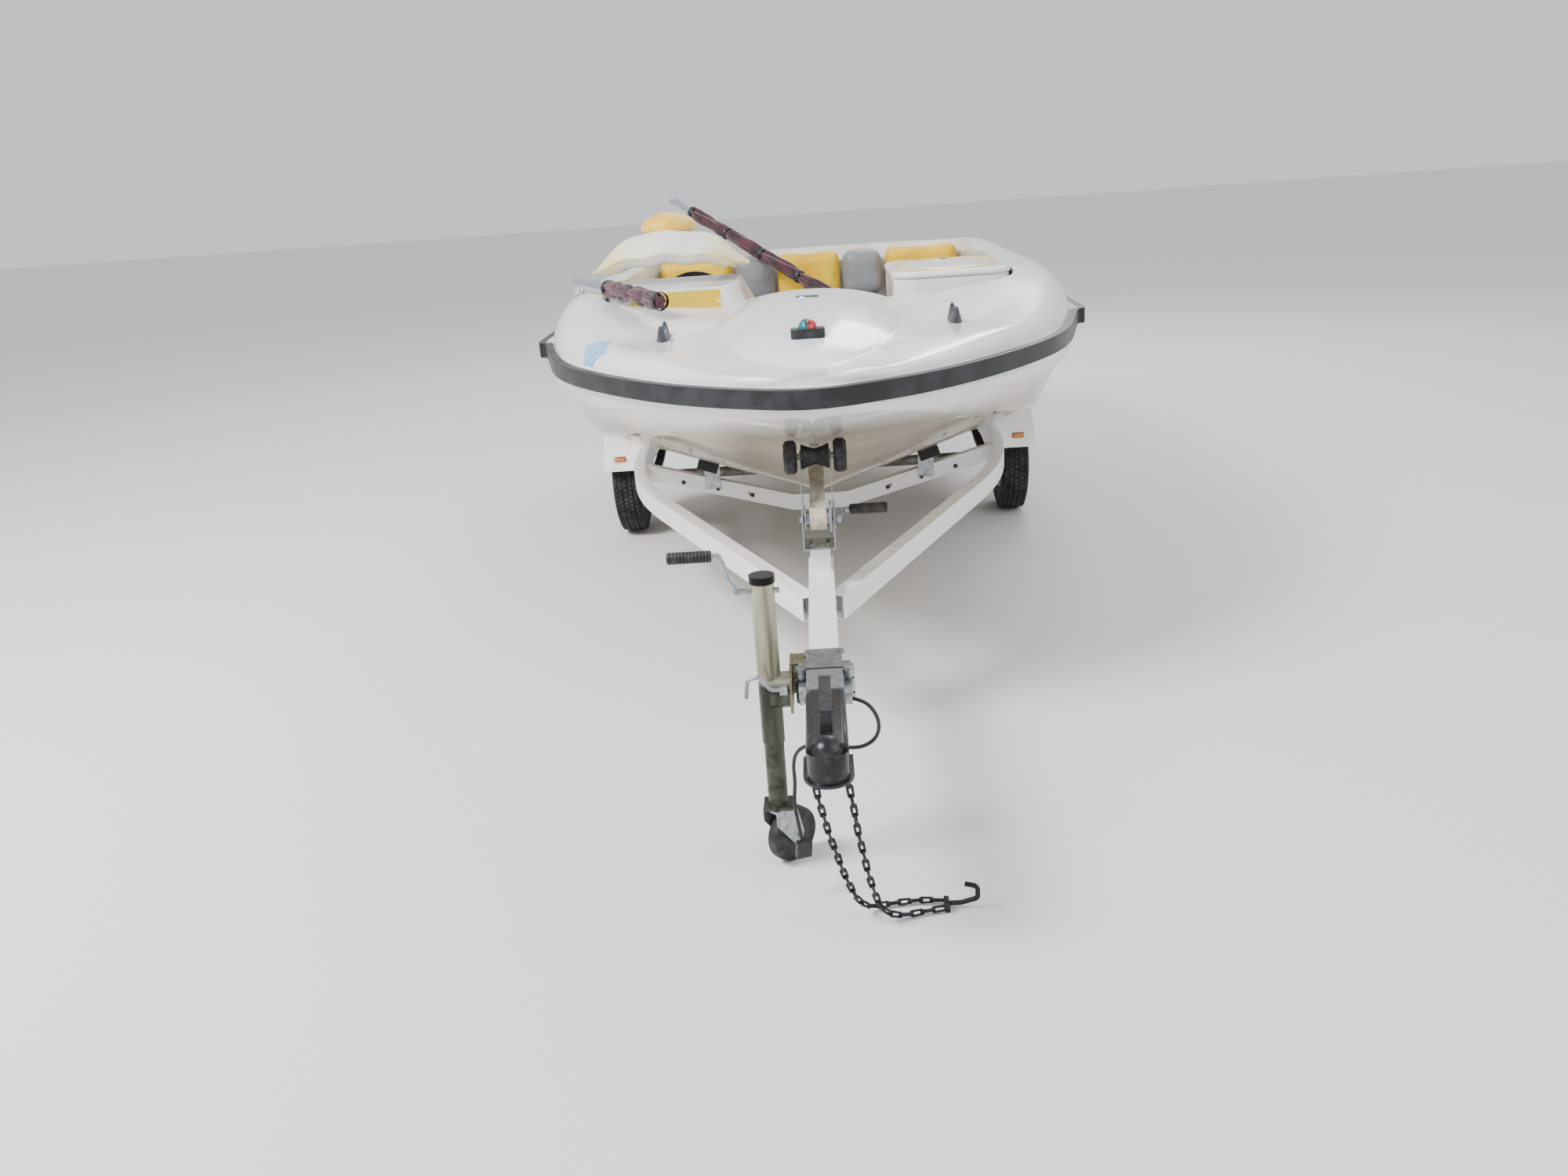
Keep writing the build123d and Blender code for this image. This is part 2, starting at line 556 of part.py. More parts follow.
BUCKET_RADIUS = 152.0
BUCKET_WALL = 6.0
BUCKET_SPAN = 72.0
BUCKET_RAISED = 62.0  # how far up it rests
bucket_arc = rod_x(BUCKET_RADIUS, -BUCKET_HALF - BUCKET_WALL, BUCKET_HALF + BUCKET_WALL, 0, 0)
bucket_arc -= rod_x(BUCKET_RADIUS - BUCKET_WALL, -BUCKET_HALF, BUCKET_HALF, 0, 0)
reach = 400.0
low = radians(-BUCKET_SPAN / 2)
high = radians(BUCKET_SPAN / 2)
sector = side_profile(
    [(-16, 0), (0, -16), (reach * cos(low), reach * sin(low)), (reach, 0),
     (reach * cos(high), reach * sin(high)), (0, 16)], -200, 200,
)
bucket = bucket_arc & sector
bucket -= rod_x(8.06, -200, 200, 0, 0)
bucket = Pos(0, TRUNNION_Y, PUMP_Z) * Rot(BUCKET_RAISED, 0, 0) * bucket
keep(bucket, "reverse_bucket")

# deck fittings
def deck_top(x, y):
    """Height of the deck's outside at a place."""
    column = block(x - 1, x + 1, y - 1, y + 1, RAIL_HIGH, 1500) & deck_outer
    return column.bounding_box().max.Z


CLEAT_X = 478.0
CLEAT_Y = -885.0
cleats = []
for x in (CLEAT_X, -CLEAT_X):
    z = deck_top(x, CLEAT_Y) + 4
    foot = Pos(x, CLEAT_Y, z + 5) * Box(50, 120, 22)
    foot -= deck_outer
    stem = Pos(x, CLEAT_Y, z + 30) * Box(24, 60, 40)
    horn = Pos(x, CLEAT_Y, z + 52) * Box(26, 165, 14)
    cleats.append(fillet((foot + stem + horn).edges().filter_by(Axis.Z), 4))
keep(Compound([solid for cleat in cleats for solid in cleat.solids()]), "bow_cleats")

LIGHT_Y = -1210.0
light_z = deck_top(0, LIGHT_Y) - 6
light_base = Pos(0, LIGHT_Y, light_z + 14) * Box(104, 62, 28)
light_base = fillet(light_base.edges().filter_by(Axis.Z), 20) - deck_outer
keep(light_base, "nav_light_base")
dome = Pos(0, LIGHT_Y, light_z + 28 + CLEARANCE) * Sphere(29)
dome &= block(-60, 60, LIGHT_Y - 60, LIGHT_Y + 60, light_z + 28 + CLEARANCE, 1500)
port_lens = dome & block(0.5, 60, -2000, 0, 0, 1500)
keep(Compound(port_lens.solids() + mirrored(port_lens).solids()), "nav_light_lenses")

# folded sun top lying across the cockpit
TOP_HIGH = (-697.5, 1825.0, 1543.5)
TOP_LOW = (164.2, 1063.5, 1034.7)
HIGH_ROLL = 40.0
FORE_EYE = (-915.0, 50.0, 1300.0)
FORE_END = (-510.0, -600.0, 1262.0)
FORE_ROLL = 42.0
TUBE_RADIUS = 12.5


def bundle(start, end, radius, cloth_from, cloth_to):
    """Two bare tubes side by side and the furled cloth round them."""
    start, end = Vector(*start), Vector(*end)
    axis = (end - start).normalized()
    side = axis.cross(Vector(0, 0, 1)).normalized() * (TUBE_RADIUS + 3)
    tubes = rod(tuple(start + side), tuple(end + side), TUBE_RADIUS)
    tubes += rod(tuple(start - side), tuple(end - side), TUBE_RADIUS)
    cloth = rod(tuple(start + axis * cloth_from), tuple(start + axis * cloth_to), radius)
    return tubes - cloth, cloth


high_tubes, high_cloth = bundle(TOP_HIGH, TOP_LOW, HIGH_ROLL, 150, 1227)
fore_tubes, fore_cloth = bundle(FORE_EYE, FORE_END, FORE_ROLL, 300, 770)
eye_foot = block(-932, -898, 33, 67, 1230, 1300) - Pos(0, 0, CLEARANCE) * deck_solid()
fore_tubes += eye_foot
keep(Compound(high_tubes.solids() + fore_tubes.solids()), "top_frame")
keep(Compound(high_cloth.solids() + fore_cloth.solids()), "top_canvas")

# ================================================================ trailer frame
RAIL_REAR = 2330.0
JOIN_Y = -1560.0
BEND_START = (610.0, -330.0)
BEND_END_Y = 620.0


def frame_rail():
    """The port rail: straight from the tongue, one long bend, straight aft."""
    centre = FRAME_HALF_WIDTH - FRAME_TUBE_WIDTH / 2
    z = FRAME_TOP - FRAME_TUBE_HEIGHT / 2
    start = (TONGUE_WIDTH / 2, JOIN_Y, z)
    knee = (*BEND_START, z)
    lead = Vector(knee[0] - start[0], knee[1] - start[1], 0)
    with BuildPart() as rail_part:
        with BuildLine() as path:
            Line(start, knee)
            curve = Spline(knee, (centre, BEND_END_Y, z), tangents=[tuple(lead), (0, 1, 0)])
            Line(curve @ 1, (centre, RAIL_REAR, z))
        with BuildSketch(Plane(origin=start, x_dir=(0, 0, 1), z_dir=tuple(lead))):
            Rectangle(FRAME_TUBE_HEIGHT, FRAME_TUBE_WIDTH)
            inner = (FRAME_TUBE_HEIGHT - 2 * TUBE_WALL, FRAME_TUBE_WIDTH - 2 * TUBE_WALL)
            Rectangle(*inner, mode=Mode.SUBTRACT)
        sweep()
    return rail_part.part


TONGUE_TOP = 528.0
TONGUE_LOW = TONGUE_TOP - TONGUE_WIDTH
HINGE_Y = -2230.0
TONGUE_FRONT = -2125.0
TONGUE_REAR = -1330.0
trim = block(-TONGUE_WIDTH / 2 - CLEARANCE, TONGUE_WIDTH / 2 + CLEARANCE, -2000, 0, 0, 1000)
port_rail = frame_rail() - trim
keep(Compound(port_rail.solids() + mirrored(port_rail).solids()), "frame_rails")


def square_tube(x, y0, y1, z, width):
    """A hollow square tube along Y."""
    half = width / 2
    outer = block(x - half, x + half, y0, y1, z - half, z + half)
    half -= TUBE_WALL
    return outer - block(x - half, x + half, y0 - 1, y1 + 1, z - half, z + half)


tongue_mid = (TONGUE_TOP + TONGUE_LOW) / 2

CROSS_Y = 300.0
CROSS_TOP = 302.0  # at its lowest, under the keel
CROSS_DEPTH = 40.0
REAR_CROSS_Y = 2060.0


def crossmember(y, centre_top, half):
    """A V-shaped channel between the rails, open towards the stern."""
    z_end = FRAME_TOP - 4
    height = FRAME_TUBE_HEIGHT - 6
    flat = 120.0
    outline = [
        (-half, z_end), (-flat, centre_top), (flat, centre_top), (half, z_end),
        (half, z_end - height), (flat, centre_top - height),
        (-flat, centre_top - height), (-half, z_end - height),
    ]
    wall = 4.0
    inside = [
        (-half - 9, z_end - wall + 2), (-flat, centre_top - wall),
        (flat, centre_top - wall), (half + 9, z_end - wall + 2),
        (half + 9, z_end - height + wall + 2), (flat, centre_top - height + wall),
        (-flat, centre_top - height + wall), (-half - 9, z_end - height + wall + 2),
    ]
    beam = cross_profile(outline, y, y + CROSS_DEPTH)
    beam -= cross_profile(inside, y + wall, y + CROSS_DEPTH + 1)
    for k in range(3):
        share = 0.3 + 0.22 * k
        x = flat + (half - flat) * share
        z = centre_top + (z_end - centre_top) * share - height / 2
        for side in (1, -1):
            beam -= rod_y(9, y - 5, y + 10, side * x, z)
    return beam



def rail_inner(y):
    """How far out the rail's inner face is at a place along the frame."""
    slice_box = block(0, 1000, y - 1, y + CROSS_DEPTH + 1, 0, 1000) & port_rail
    return slice_box.bounding_box().min.X


front_half = rail_inner(CROSS_Y) - CLEARANCE
cross_front = crossmember(CROSS_Y, CROSS_TOP, front_half)
rear_half = FRAME_HALF_WIDTH - FRAME_TUBE_WIDTH - CLEARANCE
cross_rear = crossmember(REAR_CROSS_Y, CROSS_TOP, rear_half)
keep(Compound(cross_front.solids() + cross_rear.solids()), "crossmembers")

# bunks under the V of the bottom
BUNK_X = 470.0
BUNK_WIDTH = 90.0
BUNK_THICK = 42.0
BUNK_FRONT = 180.0
BUNK_REAR = 2240.0


def bottom_height(x):
    """Height of the hull's bottom over the plain V aft."""
    section = hull_section(PARALLEL_END)
    points = sorted({(round(v.X, 3), round(v.Z, 3)) for v in section.vertices() if v.X >= -0.01})
    chine = min((p for p in points if p[0] > 100), key=lambda p: p[1])
    return KEEL_HEIGHT + (chine[1] - KEEL_HEIGHT) * x / chine[0]


bunk_slope = degrees(atan2(bottom_height(800) - bottom_height(0), 800))
bunk_z = bottom_height(BUNK_X)
bunk_shape = Box(BUNK_WIDTH, BUNK_REAR - BUNK_FRONT, BUNK_THICK, align=(Align.CENTER, Align.MIN, Align.MAX))
bunk = Pos(BUNK_X, BUNK_FRONT, bunk_z - 1.0) * Rot(0, -bunk_slope, 0) * bunk_shape
keep(Compound(bunk.solids() + mirrored(bunk).solids()), "bunks")

# bunk brackets stand on the crossmembers
brackets = []
for y in (CROSS_Y, REAR_CROSS_Y):
    for side in (1, -1):
        plate = block(BUNK_X - 34, BUNK_X + 34, y - 6 - CLEARANCE, y - CLEARANCE, 350, bunk_z - 20)
        plate = (plate - bunk).solids().sort_by(Axis.Z)[0]
        plate = plate if side > 0 else mirrored(plate)
        brackets.append(plate)

# axle, springs and wheels
AXLE_Z = TYRE_RADIUS
AXLE_RADIUS = 25.0
SPINDLE_RADIUS = 16.0
HUB_GAP = 0.06
wheel_x = WHEEL_TRACK / 2
SPRING_X = FRAME_HALF_WIDTH - FRAME_TUBE_WIDTH / 2
axle = rod_x(AXLE_RADIUS, -(wheel_x - 75), wheel_x - 75, AXLE_Y, AXLE_Z)
axle += rod_x(SPINDLE_RADIUS, -(wheel_x + 58), wheel_x + 58, AXLE_Y, AXLE_Z)
for side in (1, -1):
    axle += rod_x(31, side * (wheel_x - 80), side * (wheel_x - 66), AXLE_Y, AXLE_Z)
    x = side * SPRING_X
    seat_low = AXLE_Z + AXLE_RADIUS - 8
    axle += block(x - 24, x + 24, AXLE_Y - 40, AXLE_Y + 40, seat_low, seat_low + 14)
keep(axle, "axle")

SPRING_LOW = AXLE_Z + AXLE_RADIUS + 6 + CLEARANCE
SPRING_RADIUS = 900.0
SPRING_THICK = 20.0
SPRING_HALF = 320.0
spring_outer = SPRING_RADIUS + SPRING_THICK
spring_centre = SPRING_LOW + spring_outer
spring = rod_x(spring_outer, SPRING_X - 20, SPRING_X + 20, AXLE_Y, spring_centre)
spring -= rod_x(SPRING_RADIUS, SPRING_X - 30, SPRING_X + 30, AXLE_Y, spring_centre)
spring &= block(700, 900, AXLE_Y - SPRING_HALF, AXLE_Y + SPRING_HALF, 0, FRAME_BOTTOM - 2)
hangers = Part()
for end in (-1, 1):
    y = AXLE_Y + end * (SPRING_HALF - 14)
    hanger = block(SPRING_X - 25, SPRING_X + 25, y - 24, y + 24, 330, FRAME_BOTTOM - CLEARANCE)
    hanger -= block(SPRING_X - 20 - CLEARANCE, SPRING_X + 20 + CLEARANCE, y - 30, y + 30, 0, FRAME_BOTTOM - 6)
    hanger += rod_x(7, SPRING_X - 25, SPRING_X + 25, y, SPRING_LOW + 40)
    hangers += hanger - spring
keep(Compound(spring.solids() + mirrored(spring).solids()), "leaf_springs")
brackets += hangers.solids() + mirrored(hangers).solids()

for name, side in (("port", 1), ("starboard", -1)):
    x = side * wheel_x
    tyre = rod_x(TYRE_RADIUS, x - TYRE_WIDTH / 2, x + TYRE_WIDTH / 2, AXLE_Y, AXLE_Z)
    tyre = fillet(tyre.edges().filter_by(GeomType.CIRCLE), 26)
    tyre -= rod_x(RIM_DIAMETER / 2, x - 100, x + 100, AXLE_Y, AXLE_Z)
    keep(tyre, f"tyre_{name}")
    rim_radius = RIM_DIAMETER / 2 - CLEARANCE
    rim = rod_x(rim_radius, x - 55, x + 55, AXLE_Y, AXLE_Z)
    rim -= rod_x(rim_radius - 6, x + side * 12, x + side * 80, AXLE_Y, AXLE_Z)
    rim -= rod_x(rim_radius - 6, x - side * 80, x + side * 6, AXLE_Y, AXLE_Z)
    rim += rod_x(38, x - side * 62, x + side * 64, AXLE_Y, AXLE_Z)
    for turn in range(5):
        angle = 2 * pi * turn / 5
        y = AXLE_Y + 88 * cos(angle)
        z = AXLE_Z + 88 * sin(angle)
        rim -= rod_x(14, x - 30, x + 30, y, z)
    rim -= rod_x(SPINDLE_RADIUS + HUB_GAP, x - side * 70, x + side * 59, AXLE_Y, AXLE_Z)
    keep(rim, f"rim_{name}")

FENDER_RADIUS = 325.0
FENDER_WALL = 5.0
FENDER_IN = 818.0
FENDER_OUT = 1012.0
FENDER_CUT = 370.0
fender = rod_x(FENDER_RADIUS + FENDER_WALL, FENDER_IN, FENDER_OUT, AXLE_Y, AXLE_Z)
fender -= rod_x(FENDER_RADIUS, FENDER_IN - 1, FENDER_OUT - FENDER_WALL, AXLE_Y, AXLE_Z)
fender &= block(0, 2000, 0, 2000, FENDER_CUT, 1000)
fender -= rod_x(FENDER_RADIUS - 45, 700, 1100, AXLE_Y, AXLE_Z)
skirt_cut = block(700, FRAME_HALF_WIDTH + CLEARANCE, 0, 2000, 0, FRAME_TOP + CLEARANCE)
fender -= skirt_cut
keep(Compound(fender.solids() + mirrored(fender).solids()), "fenders")

# lights, plate bracket and bunk brackets
MARKER_Z = 424.0
lamps = []
for side in (1, -1):
    front = AXLE_Y - sqrt((FENDER_RADIUS + FENDER_WALL) ** 2 - (MARKER_Z - AXLE_Z) ** 2)
    lamp = block(side * 908, side * 962, front - 16, front + 16, MARKER_Z - 12, MARKER_Z + 12)
    lamps.append(lamp - rod_x(FENDER_RADIUS + FENDER_WALL + CLEARANCE, -1100, 1100, AXLE_Y, AXLE_Z))
LAMP_Y = RAIL_REAR
lamp_posts = []
tail_lamps = []
for side in (1, -1):
    x0 = side * (FRAME_HALF_WIDTH - FRAME_TUBE_WIDTH)
    x1 = side * (FRAME_HALF_WIDTH + 150)
    post_y = LAMP_Y + CLEARANCE
    lamp_posts.append(block(x0, x1, post_y, post_y + 5, FRAME_TOP - 70, FRAME_TOP + 55))
    lamp_y = post_y + 5 + CLEARANCE
    lamp = block(x1 - side * 130, x1 - side * 12, lamp_y, LAMP_Y + 58, FRAME_TOP - 48, FRAME_TOP + 48)
    tail_lamps.append(fillet(lamp.edges().filter_by(Axis.Y), 8))
keep(Compound([solid for lamp in lamps + tail_lamps for solid in lamp.solids()]), "trailer_lights")
plate_half = 152.0
plate_y = REAR_CROSS_Y + CROSS_DEPTH
lamp_posts.append(block(-745, -745 + 2 * plate_half, plate_y + CLEARANCE, plate_y + 4, 285, 437))
keep(Compound([solid for piece in brackets + lamp_posts for solid in piece.solids()]), "frame_brackets")

# winch stand, winch and bow stop on the tongue
POST_FRONT = -1475.0
POST_REAR = -1415.0
POST_HALF = 30.0
POST_TOP = 600.0
STOP_Y = -1300.0
STOP_Z = 840.0
STOP_RADIUS = 52.0
tongue_beam = square_tube(0, TONGUE_FRONT, TONGUE_REAR, tongue_mid, TONGUE_WIDTH)
post = block(-POST_HALF, POST_HALF, POST_FRONT, POST_REAR, TONGUE_TOP - 1, POST_TOP)
post -= block(-POST_HALF + 4, POST_HALF - 4, POST_FRONT + 4, POST_REAR - 4, TONGUE_TOP, POST_TOP + 1)
keep(tongue_beam + post, "tongue")
PLATE_HALF = 48.0
PLATE_WALL = 4.0
plate_outline = [
    (POST_FRONT - 20, POST_TOP + CLEARANCE), (POST_REAR + 30, POST_TOP + CLEARANCE),
    (STOP_Y + 22, STOP_Z - 24), (STOP_Y + 22, STOP_Z + 16), (STOP_Y - 20, STOP_Z + 16),
    (POST_FRONT + 30, POST_TOP + 150), (POST_FRONT - 20, POST_TOP + 90),
]
stand = side_profile(plate_outline, PLATE_HALF - PLATE_WALL, PLATE_HALF)
stand += mirrored(stand)
stand += block(-PLATE_HALF, PLATE_HALF, POST_FRONT - 20, POST_REAR + 30, POST_TOP + CLEARANCE, POST_TOP + 5)
DRUM_Y = POST_FRONT + 25
DRUM_Z = POST_TOP + 85
stand += rod_x(10, -100, 100, STOP_Y, STOP_Z)
for side in (1, -1):
    stand -= rod_x(9 + CLEARANCE, side * 40, side * 52, DRUM_Y, DRUM_Z)
keep(stand, "winch_frame")
drum = rod_x(22, -38, 38, DRUM_Y, DRUM_Z) + rod_x(9, -56, 66, DRUM_Y, DRUM_Z)
drum += rod_x(42, -40, -36, DRUM_Y, DRUM_Z) + rod_x(52, 34, 40, DRUM_Y, DRUM_Z)
HANDLE_Y = DRUM_Y + 120.0
HANDLE_Z = DRUM_Z - 10.0
drum += Pos(62, DRUM_Y, DRUM_Z) * Rot(0, 90, 0) * Cylinder(15, 12)
drum += rod((62, DRUM_Y, DRUM_Z), (78, HANDLE_Y, HANDLE_Z), 7.5)
drum += Pos(78, HANDLE_Y, HANDLE_Z) * Sphere(8.5)
drum += rod_x(8, 78, 180, HANDLE_Y, HANDLE_Z)
keep(drum, "winch_drum")
winch_grip = rod_x(17, 96, 212, HANDLE_Y, HANDLE_Z) - rod_x(8 + CLEARANCE, 90, 181, HANDLE_Y, HANDLE_Z)
keep(winch_grip, "winch_grip")

side_roller = rod_x(STOP_RADIUS, 56, 96, STOP_Y, STOP_Z)
vee = Pos(22, STOP_Y, STOP_Z) * Rot(0, 90, 0) * Cone(22, 40, 42)
stop_solid = vee + mirrored(vee) + rod_x(20, -50, 50, STOP_Y, STOP_Z)
stop_solid &= block(-43, 43, -2000, 0, 0, 2000)
rollers = side_roller + mirrored(side_roller)
stop_solid -= rod_x(10 + CLEARANCE, -100, 100, STOP_Y, STOP_Z)
rollers -= rod_x(10 + CLEARANCE, -100, 100, STOP_Y, STOP_Z)
keep(Compound(stop_solid.solids() + rollers.solids()), "bow_stop")

# ================================================================ tongue hinge and coupler
HINGE_WALL = 6.0
HINGE_PIN = 8.0
HINGE_PIN_X = 58.0
KNUCKLE_RADIUS = 14.0
REAR_HINGE_START = -2105.0
FRONT_HINGE_END = -2352.0
side_in = TONGUE_WIDTH / 2 + CLEARANCE


def hinge_half(y0, y1, ears):
    """A sleeve of plate round the tongue's end, with knuckles beside the joint."""
    shape = block(-side_in - HINGE_WALL, side_in + HINGE_WALL, y0, y1, TONGUE_LOW - 6, TONGUE_TOP + 6)
    shape -= block(-side_in, side_in, y0 - 1, y1 + 1, TONGUE_LOW - CLEARANCE, TONGUE_TOP + CLEARANCE)
    for z0, z1 in ears:
        for side in (1, -1):
            ear = rod_z(KNUCKLE_RADIUS, z0, z1, side * HINGE_PIN_X, HINGE_Y)
            near = y0 if abs(y0 - HINGE_Y) < abs(y1 - HINGE_Y) else y1
            far = near + (40 if near == y0 else -40)
            ear += block(side * side_in, side * (HINGE_PIN_X + 6), min(near, far), max(near, far), z0, z1)
            root = sorted((near, HINGE_Y))
            ear += block(side * (HINGE_PIN_X - 8), side * (HINGE_PIN_X + 6), root[0], root[1], z0, z1)
            shape += ear
    for side in (1, -1):
        shape -= rod_z(HINGE_PIN + 0.1, 400, 600, side * HINGE_PIN_X, HINGE_Y)
    return shape


z_levels = [
    TONGUE_LOW - 4, TONGUE_LOW + 16, TONGUE_LOW + 22, TONGUE_TOP - 22, TONGUE_TOP - 16, TONGUE_TOP + 4,
]
outer_ears = [(z_levels[0], z_levels[1]), (z_levels[4], z_levels[5])]
inner_ears = [(z_levels[2], z_levels[3])]
rear_hinge = hinge_half(HINGE_Y + 6, REAR_HINGE_START, outer_ears)
front_hinge = hinge_half(FRONT_HINGE_END, HINGE_Y - 6, inner_ears)
pins = Part()
for side in (1, -1):
    x = side * HINGE_PIN_X
    pins += rod_z(HINGE_PIN, z_levels[0] - 6, z_levels[5] + 4 + CLEARANCE, x, HINGE_Y)
    pins += rod_z(HINGE_PIN + 5, z_levels[5] + CLEARANCE, z_levels[5] + 8, x, HINGE_Y)
for side in (1, -1):
    pins += rod_z(HINGE_PIN + 1, z_levels[0], z_levels[1], side * HINGE_PIN_X, HINGE_Y)
keep(rear_hinge + pins, "tongue_hinge_rear")

FRONT_TUBE_START = -2420.0
front_tube = square_tube(0, FRONT_TUBE_START, HINGE_Y - 6, tongue_mid, TONGUE_WIDTH)
keep(front_tube, "tongue_front")

BALL_RADIUS = 24.0
COUPLER_LOW = 446.0
COUPLER_HALF = 46.0
COUPLER_REAR = FRONT_HINGE_END - 4
coupler = block(-COUPLER_HALF, COUPLER_HALF, COUPLER_Y - 10, COUPLER_REAR, COUPLER_LOW, TONGUE_TOP + 4)
coupler = fillet(coupler.edges().filter_by(Axis.Y).group_by(Axis.Z)[-1], 16)
nose = rod_z(COUPLER_HALF, COUPLER_LOW, TONGUE_TOP - 14, 0, COUPLER_Y)
coupler += nose
coupler += Pos(0, COUPLER_Y, TONGUE_TOP - 22) * Sphere(38)
lip = rod_z(COUPLER_NOSE, COUPLER_LOW, COUPLER_LOW + 7, 0, COUPLER_Y)
lip += block(-COUPLER_NOSE, COUPLER_NOSE, COUPLER_Y, COUPLER_Y + 90, COUPLER_LOW, COUPLER_LOW + 7)
coupler += lip
inner_half = COUPLER_HALF - 5
tongue_roof = TONGUE_TOP + CLEARANCE
cavity = block(-inner_half, inner_half, COUPLER_Y + 45, COUPLER_REAR + 1, COUPLER_LOW - 1, tongue_roof)
coupler -= cavity
coupler -= Pos(0, COUPLER_Y, COUPLER_LOW + 28) * Sphere(BALL_RADIUS + 1.5)
coupler -= rod_z(BALL_RADIUS + 1.5, COUPLER_LOW - 5, COUPLER_LOW + 28, 0, COUPLER_Y)
tube_start = FRONT_TUBE_START - CLEARANCE
coupler -= block(-side_in, side_in, tube_start, COUPLER_REAR + 5, TONGUE_LOW - 40, tongue_roof)
LATCH_PIVOT_Y = COUPLER_Y + 62
latch_low = TONGUE_TOP + 4 + CLEARANCE
latch = side_profile(
    [(LATCH_PIVOT_Y - 18, latch_low), (LATCH_PIVOT_Y + 26, latch_low), (LATCH_PIVOT_Y + 40, latch_low + 12),
     (LATCH_PIVOT_Y + 190, latch_low + 34), (LATCH_PIVOT_Y + 190, latch_low + 42),
     (LATCH_PIVOT_Y + 20, latch_low + 32), (LATCH_PIVOT_Y - 14, latch_low + 18)], -14, 14,
)
keep(latch, "coupler_latch")

# ================================================================ jack
JACK_X = -135.0
JACK_Y = HINGE_Y
JACK_PIVOT_Z = 484.0
JACK_RADIUS = 28.0
JACK_WALL = 3.0
JACK_TOP = 780.0
OUTER_LOW = 348.0
INNER_RADIUS = JACK_RADIUS - JACK_WALL - 0.4
INNER_LOW = 176.0
CASTER_TURN = 45.0
CASTER_TRAIL = 38.0
CASTER_RADIUS = 72.0
CASTER_WIDTH = 36.0
outer_leg = rod_z(JACK_RADIUS, OUTER_LOW, JACK_TOP, JACK_X, JACK_Y)
outer_leg -= rod_z(JACK_RADIUS - JACK_WALL, OUTER_LOW - 1, JACK_TOP - 6, JACK_X, JACK_Y)
outer_leg = outer_leg + rod_z(JACK_RADIUS + 3, JACK_TOP - 18, JACK_TOP, JACK_X, JACK_Y)
BRACKET_FACE = -79.0
BRACKET_WALL = 7.0
PIVOT_RADIUS = 44.0
disc = rod_x(PIVOT_RADIUS, JACK_X, BRACKET_FACE - BRACKET_WALL - CLEARANCE, JACK_Y, JACK_PIVOT_Z)
outer_leg += disc - rod_z(JACK_RADIUS - 1, 200, 900, JACK_X, JACK_Y)
CRANK_Z = JACK_TOP - 40
CRANK_X = JACK_X - JACK_RADIUS - 34
outer_leg -= rod_x(7 + CLEARANCE, -400, 0, JACK_Y, CRANK_Z)
keep(outer_leg, "jack_tube")
crank = rod_x(7, CRANK_X, JACK_X + JACK_RADIUS + 12, JACK_Y, CRANK_Z)
crank += Pos(CRANK_X, JACK_Y, CRANK_Z) * Sphere(7)
crank += rod((CRANK_X, JACK_Y, CRANK_Z), (CRANK_X - 36, JACK_Y, CRANK_Z + 92), 7)
crank += Pos(CRANK_X - 36, JACK_Y, CRANK_Z + 92) * Sphere(7)
crank += rod_x(7, CRANK_X - 36, CRANK_X - 128, JACK_Y, CRANK_Z + 92)
grip_bore = rod_x(7 + CLEARANCE, CRANK_X - 40, CRANK_X - 129, JACK_Y, CRANK_Z + 92)
keep(rod_x(15, CRANK_X - 52, CRANK_X - 156, JACK_Y, CRANK_Z + 92) - grip_bore, "jack_grip")

bracket = block(
    BRACKET_FACE - BRACKET_WALL, BRACKET_FACE, JACK_Y - 46, REAR_HINGE_START - 6,
    JACK_PIVOT_Z - 46, JACK_PIVOT_Z + 46,
)
bracket += block(
    BRACKET_FACE - 1, -side_in - HINGE_WALL - CLEARANCE, HINGE_Y + 50, REAR_HINGE_START - 6,
    JACK_PIVOT_Z - 36, JACK_PIVOT_Z + 44,
)
keep(bracket, "jack_bracket")

PIN_Y = JACK_Y - PIVOT_RADIUS - 7
hook_path = FilletPolyline(
    (BRACKET_FACE - 12, PIN_Y, JACK_PIVOT_Z + 20), (JACK_X + 6, PIN_Y, JACK_PIVOT_Z + 22),
    (JACK_X - 22, PIN_Y, JACK_PIVOT_Z + 58), (JACK_X - 50, PIN_Y, JACK_PIVOT_Z + 50),
    (JACK_X - 56, PIN_Y, JACK_PIVOT_Z + 4), radius=10,
)
hook = sweep(Plane(origin=hook_path @ 0, z_dir=hook_path % 0) * Circle(5), path=hook_path)
pin_boss = block(
    BRACKET_FACE - 30, BRACKET_FACE - 12, PIN_Y - 8, JACK_Y - 20, JACK_PIVOT_Z + 10, JACK_PIVOT_Z + 30,
)
hook += pin_boss - outer_leg
keep(Compound(crank.solids() + hook.solids()), "jack_crank_and_pin")

inner = rod_z(INNER_RADIUS, INNER_LOW, 560, JACK_X, JACK_Y)
inner -= rod_z(INNER_RADIUS - 3, INNER_LOW + 8, 570, JACK_X, JACK_Y)
KINGPIN = 8.0
inner += Pos(JACK_X, JACK_Y, INNER_LOW - 4) * Box(74, 66, 8)
inner += rod_z(KINGPIN, 150, INNER_LOW, JACK_X, JACK_Y)
keep(inner, "jack_leg")

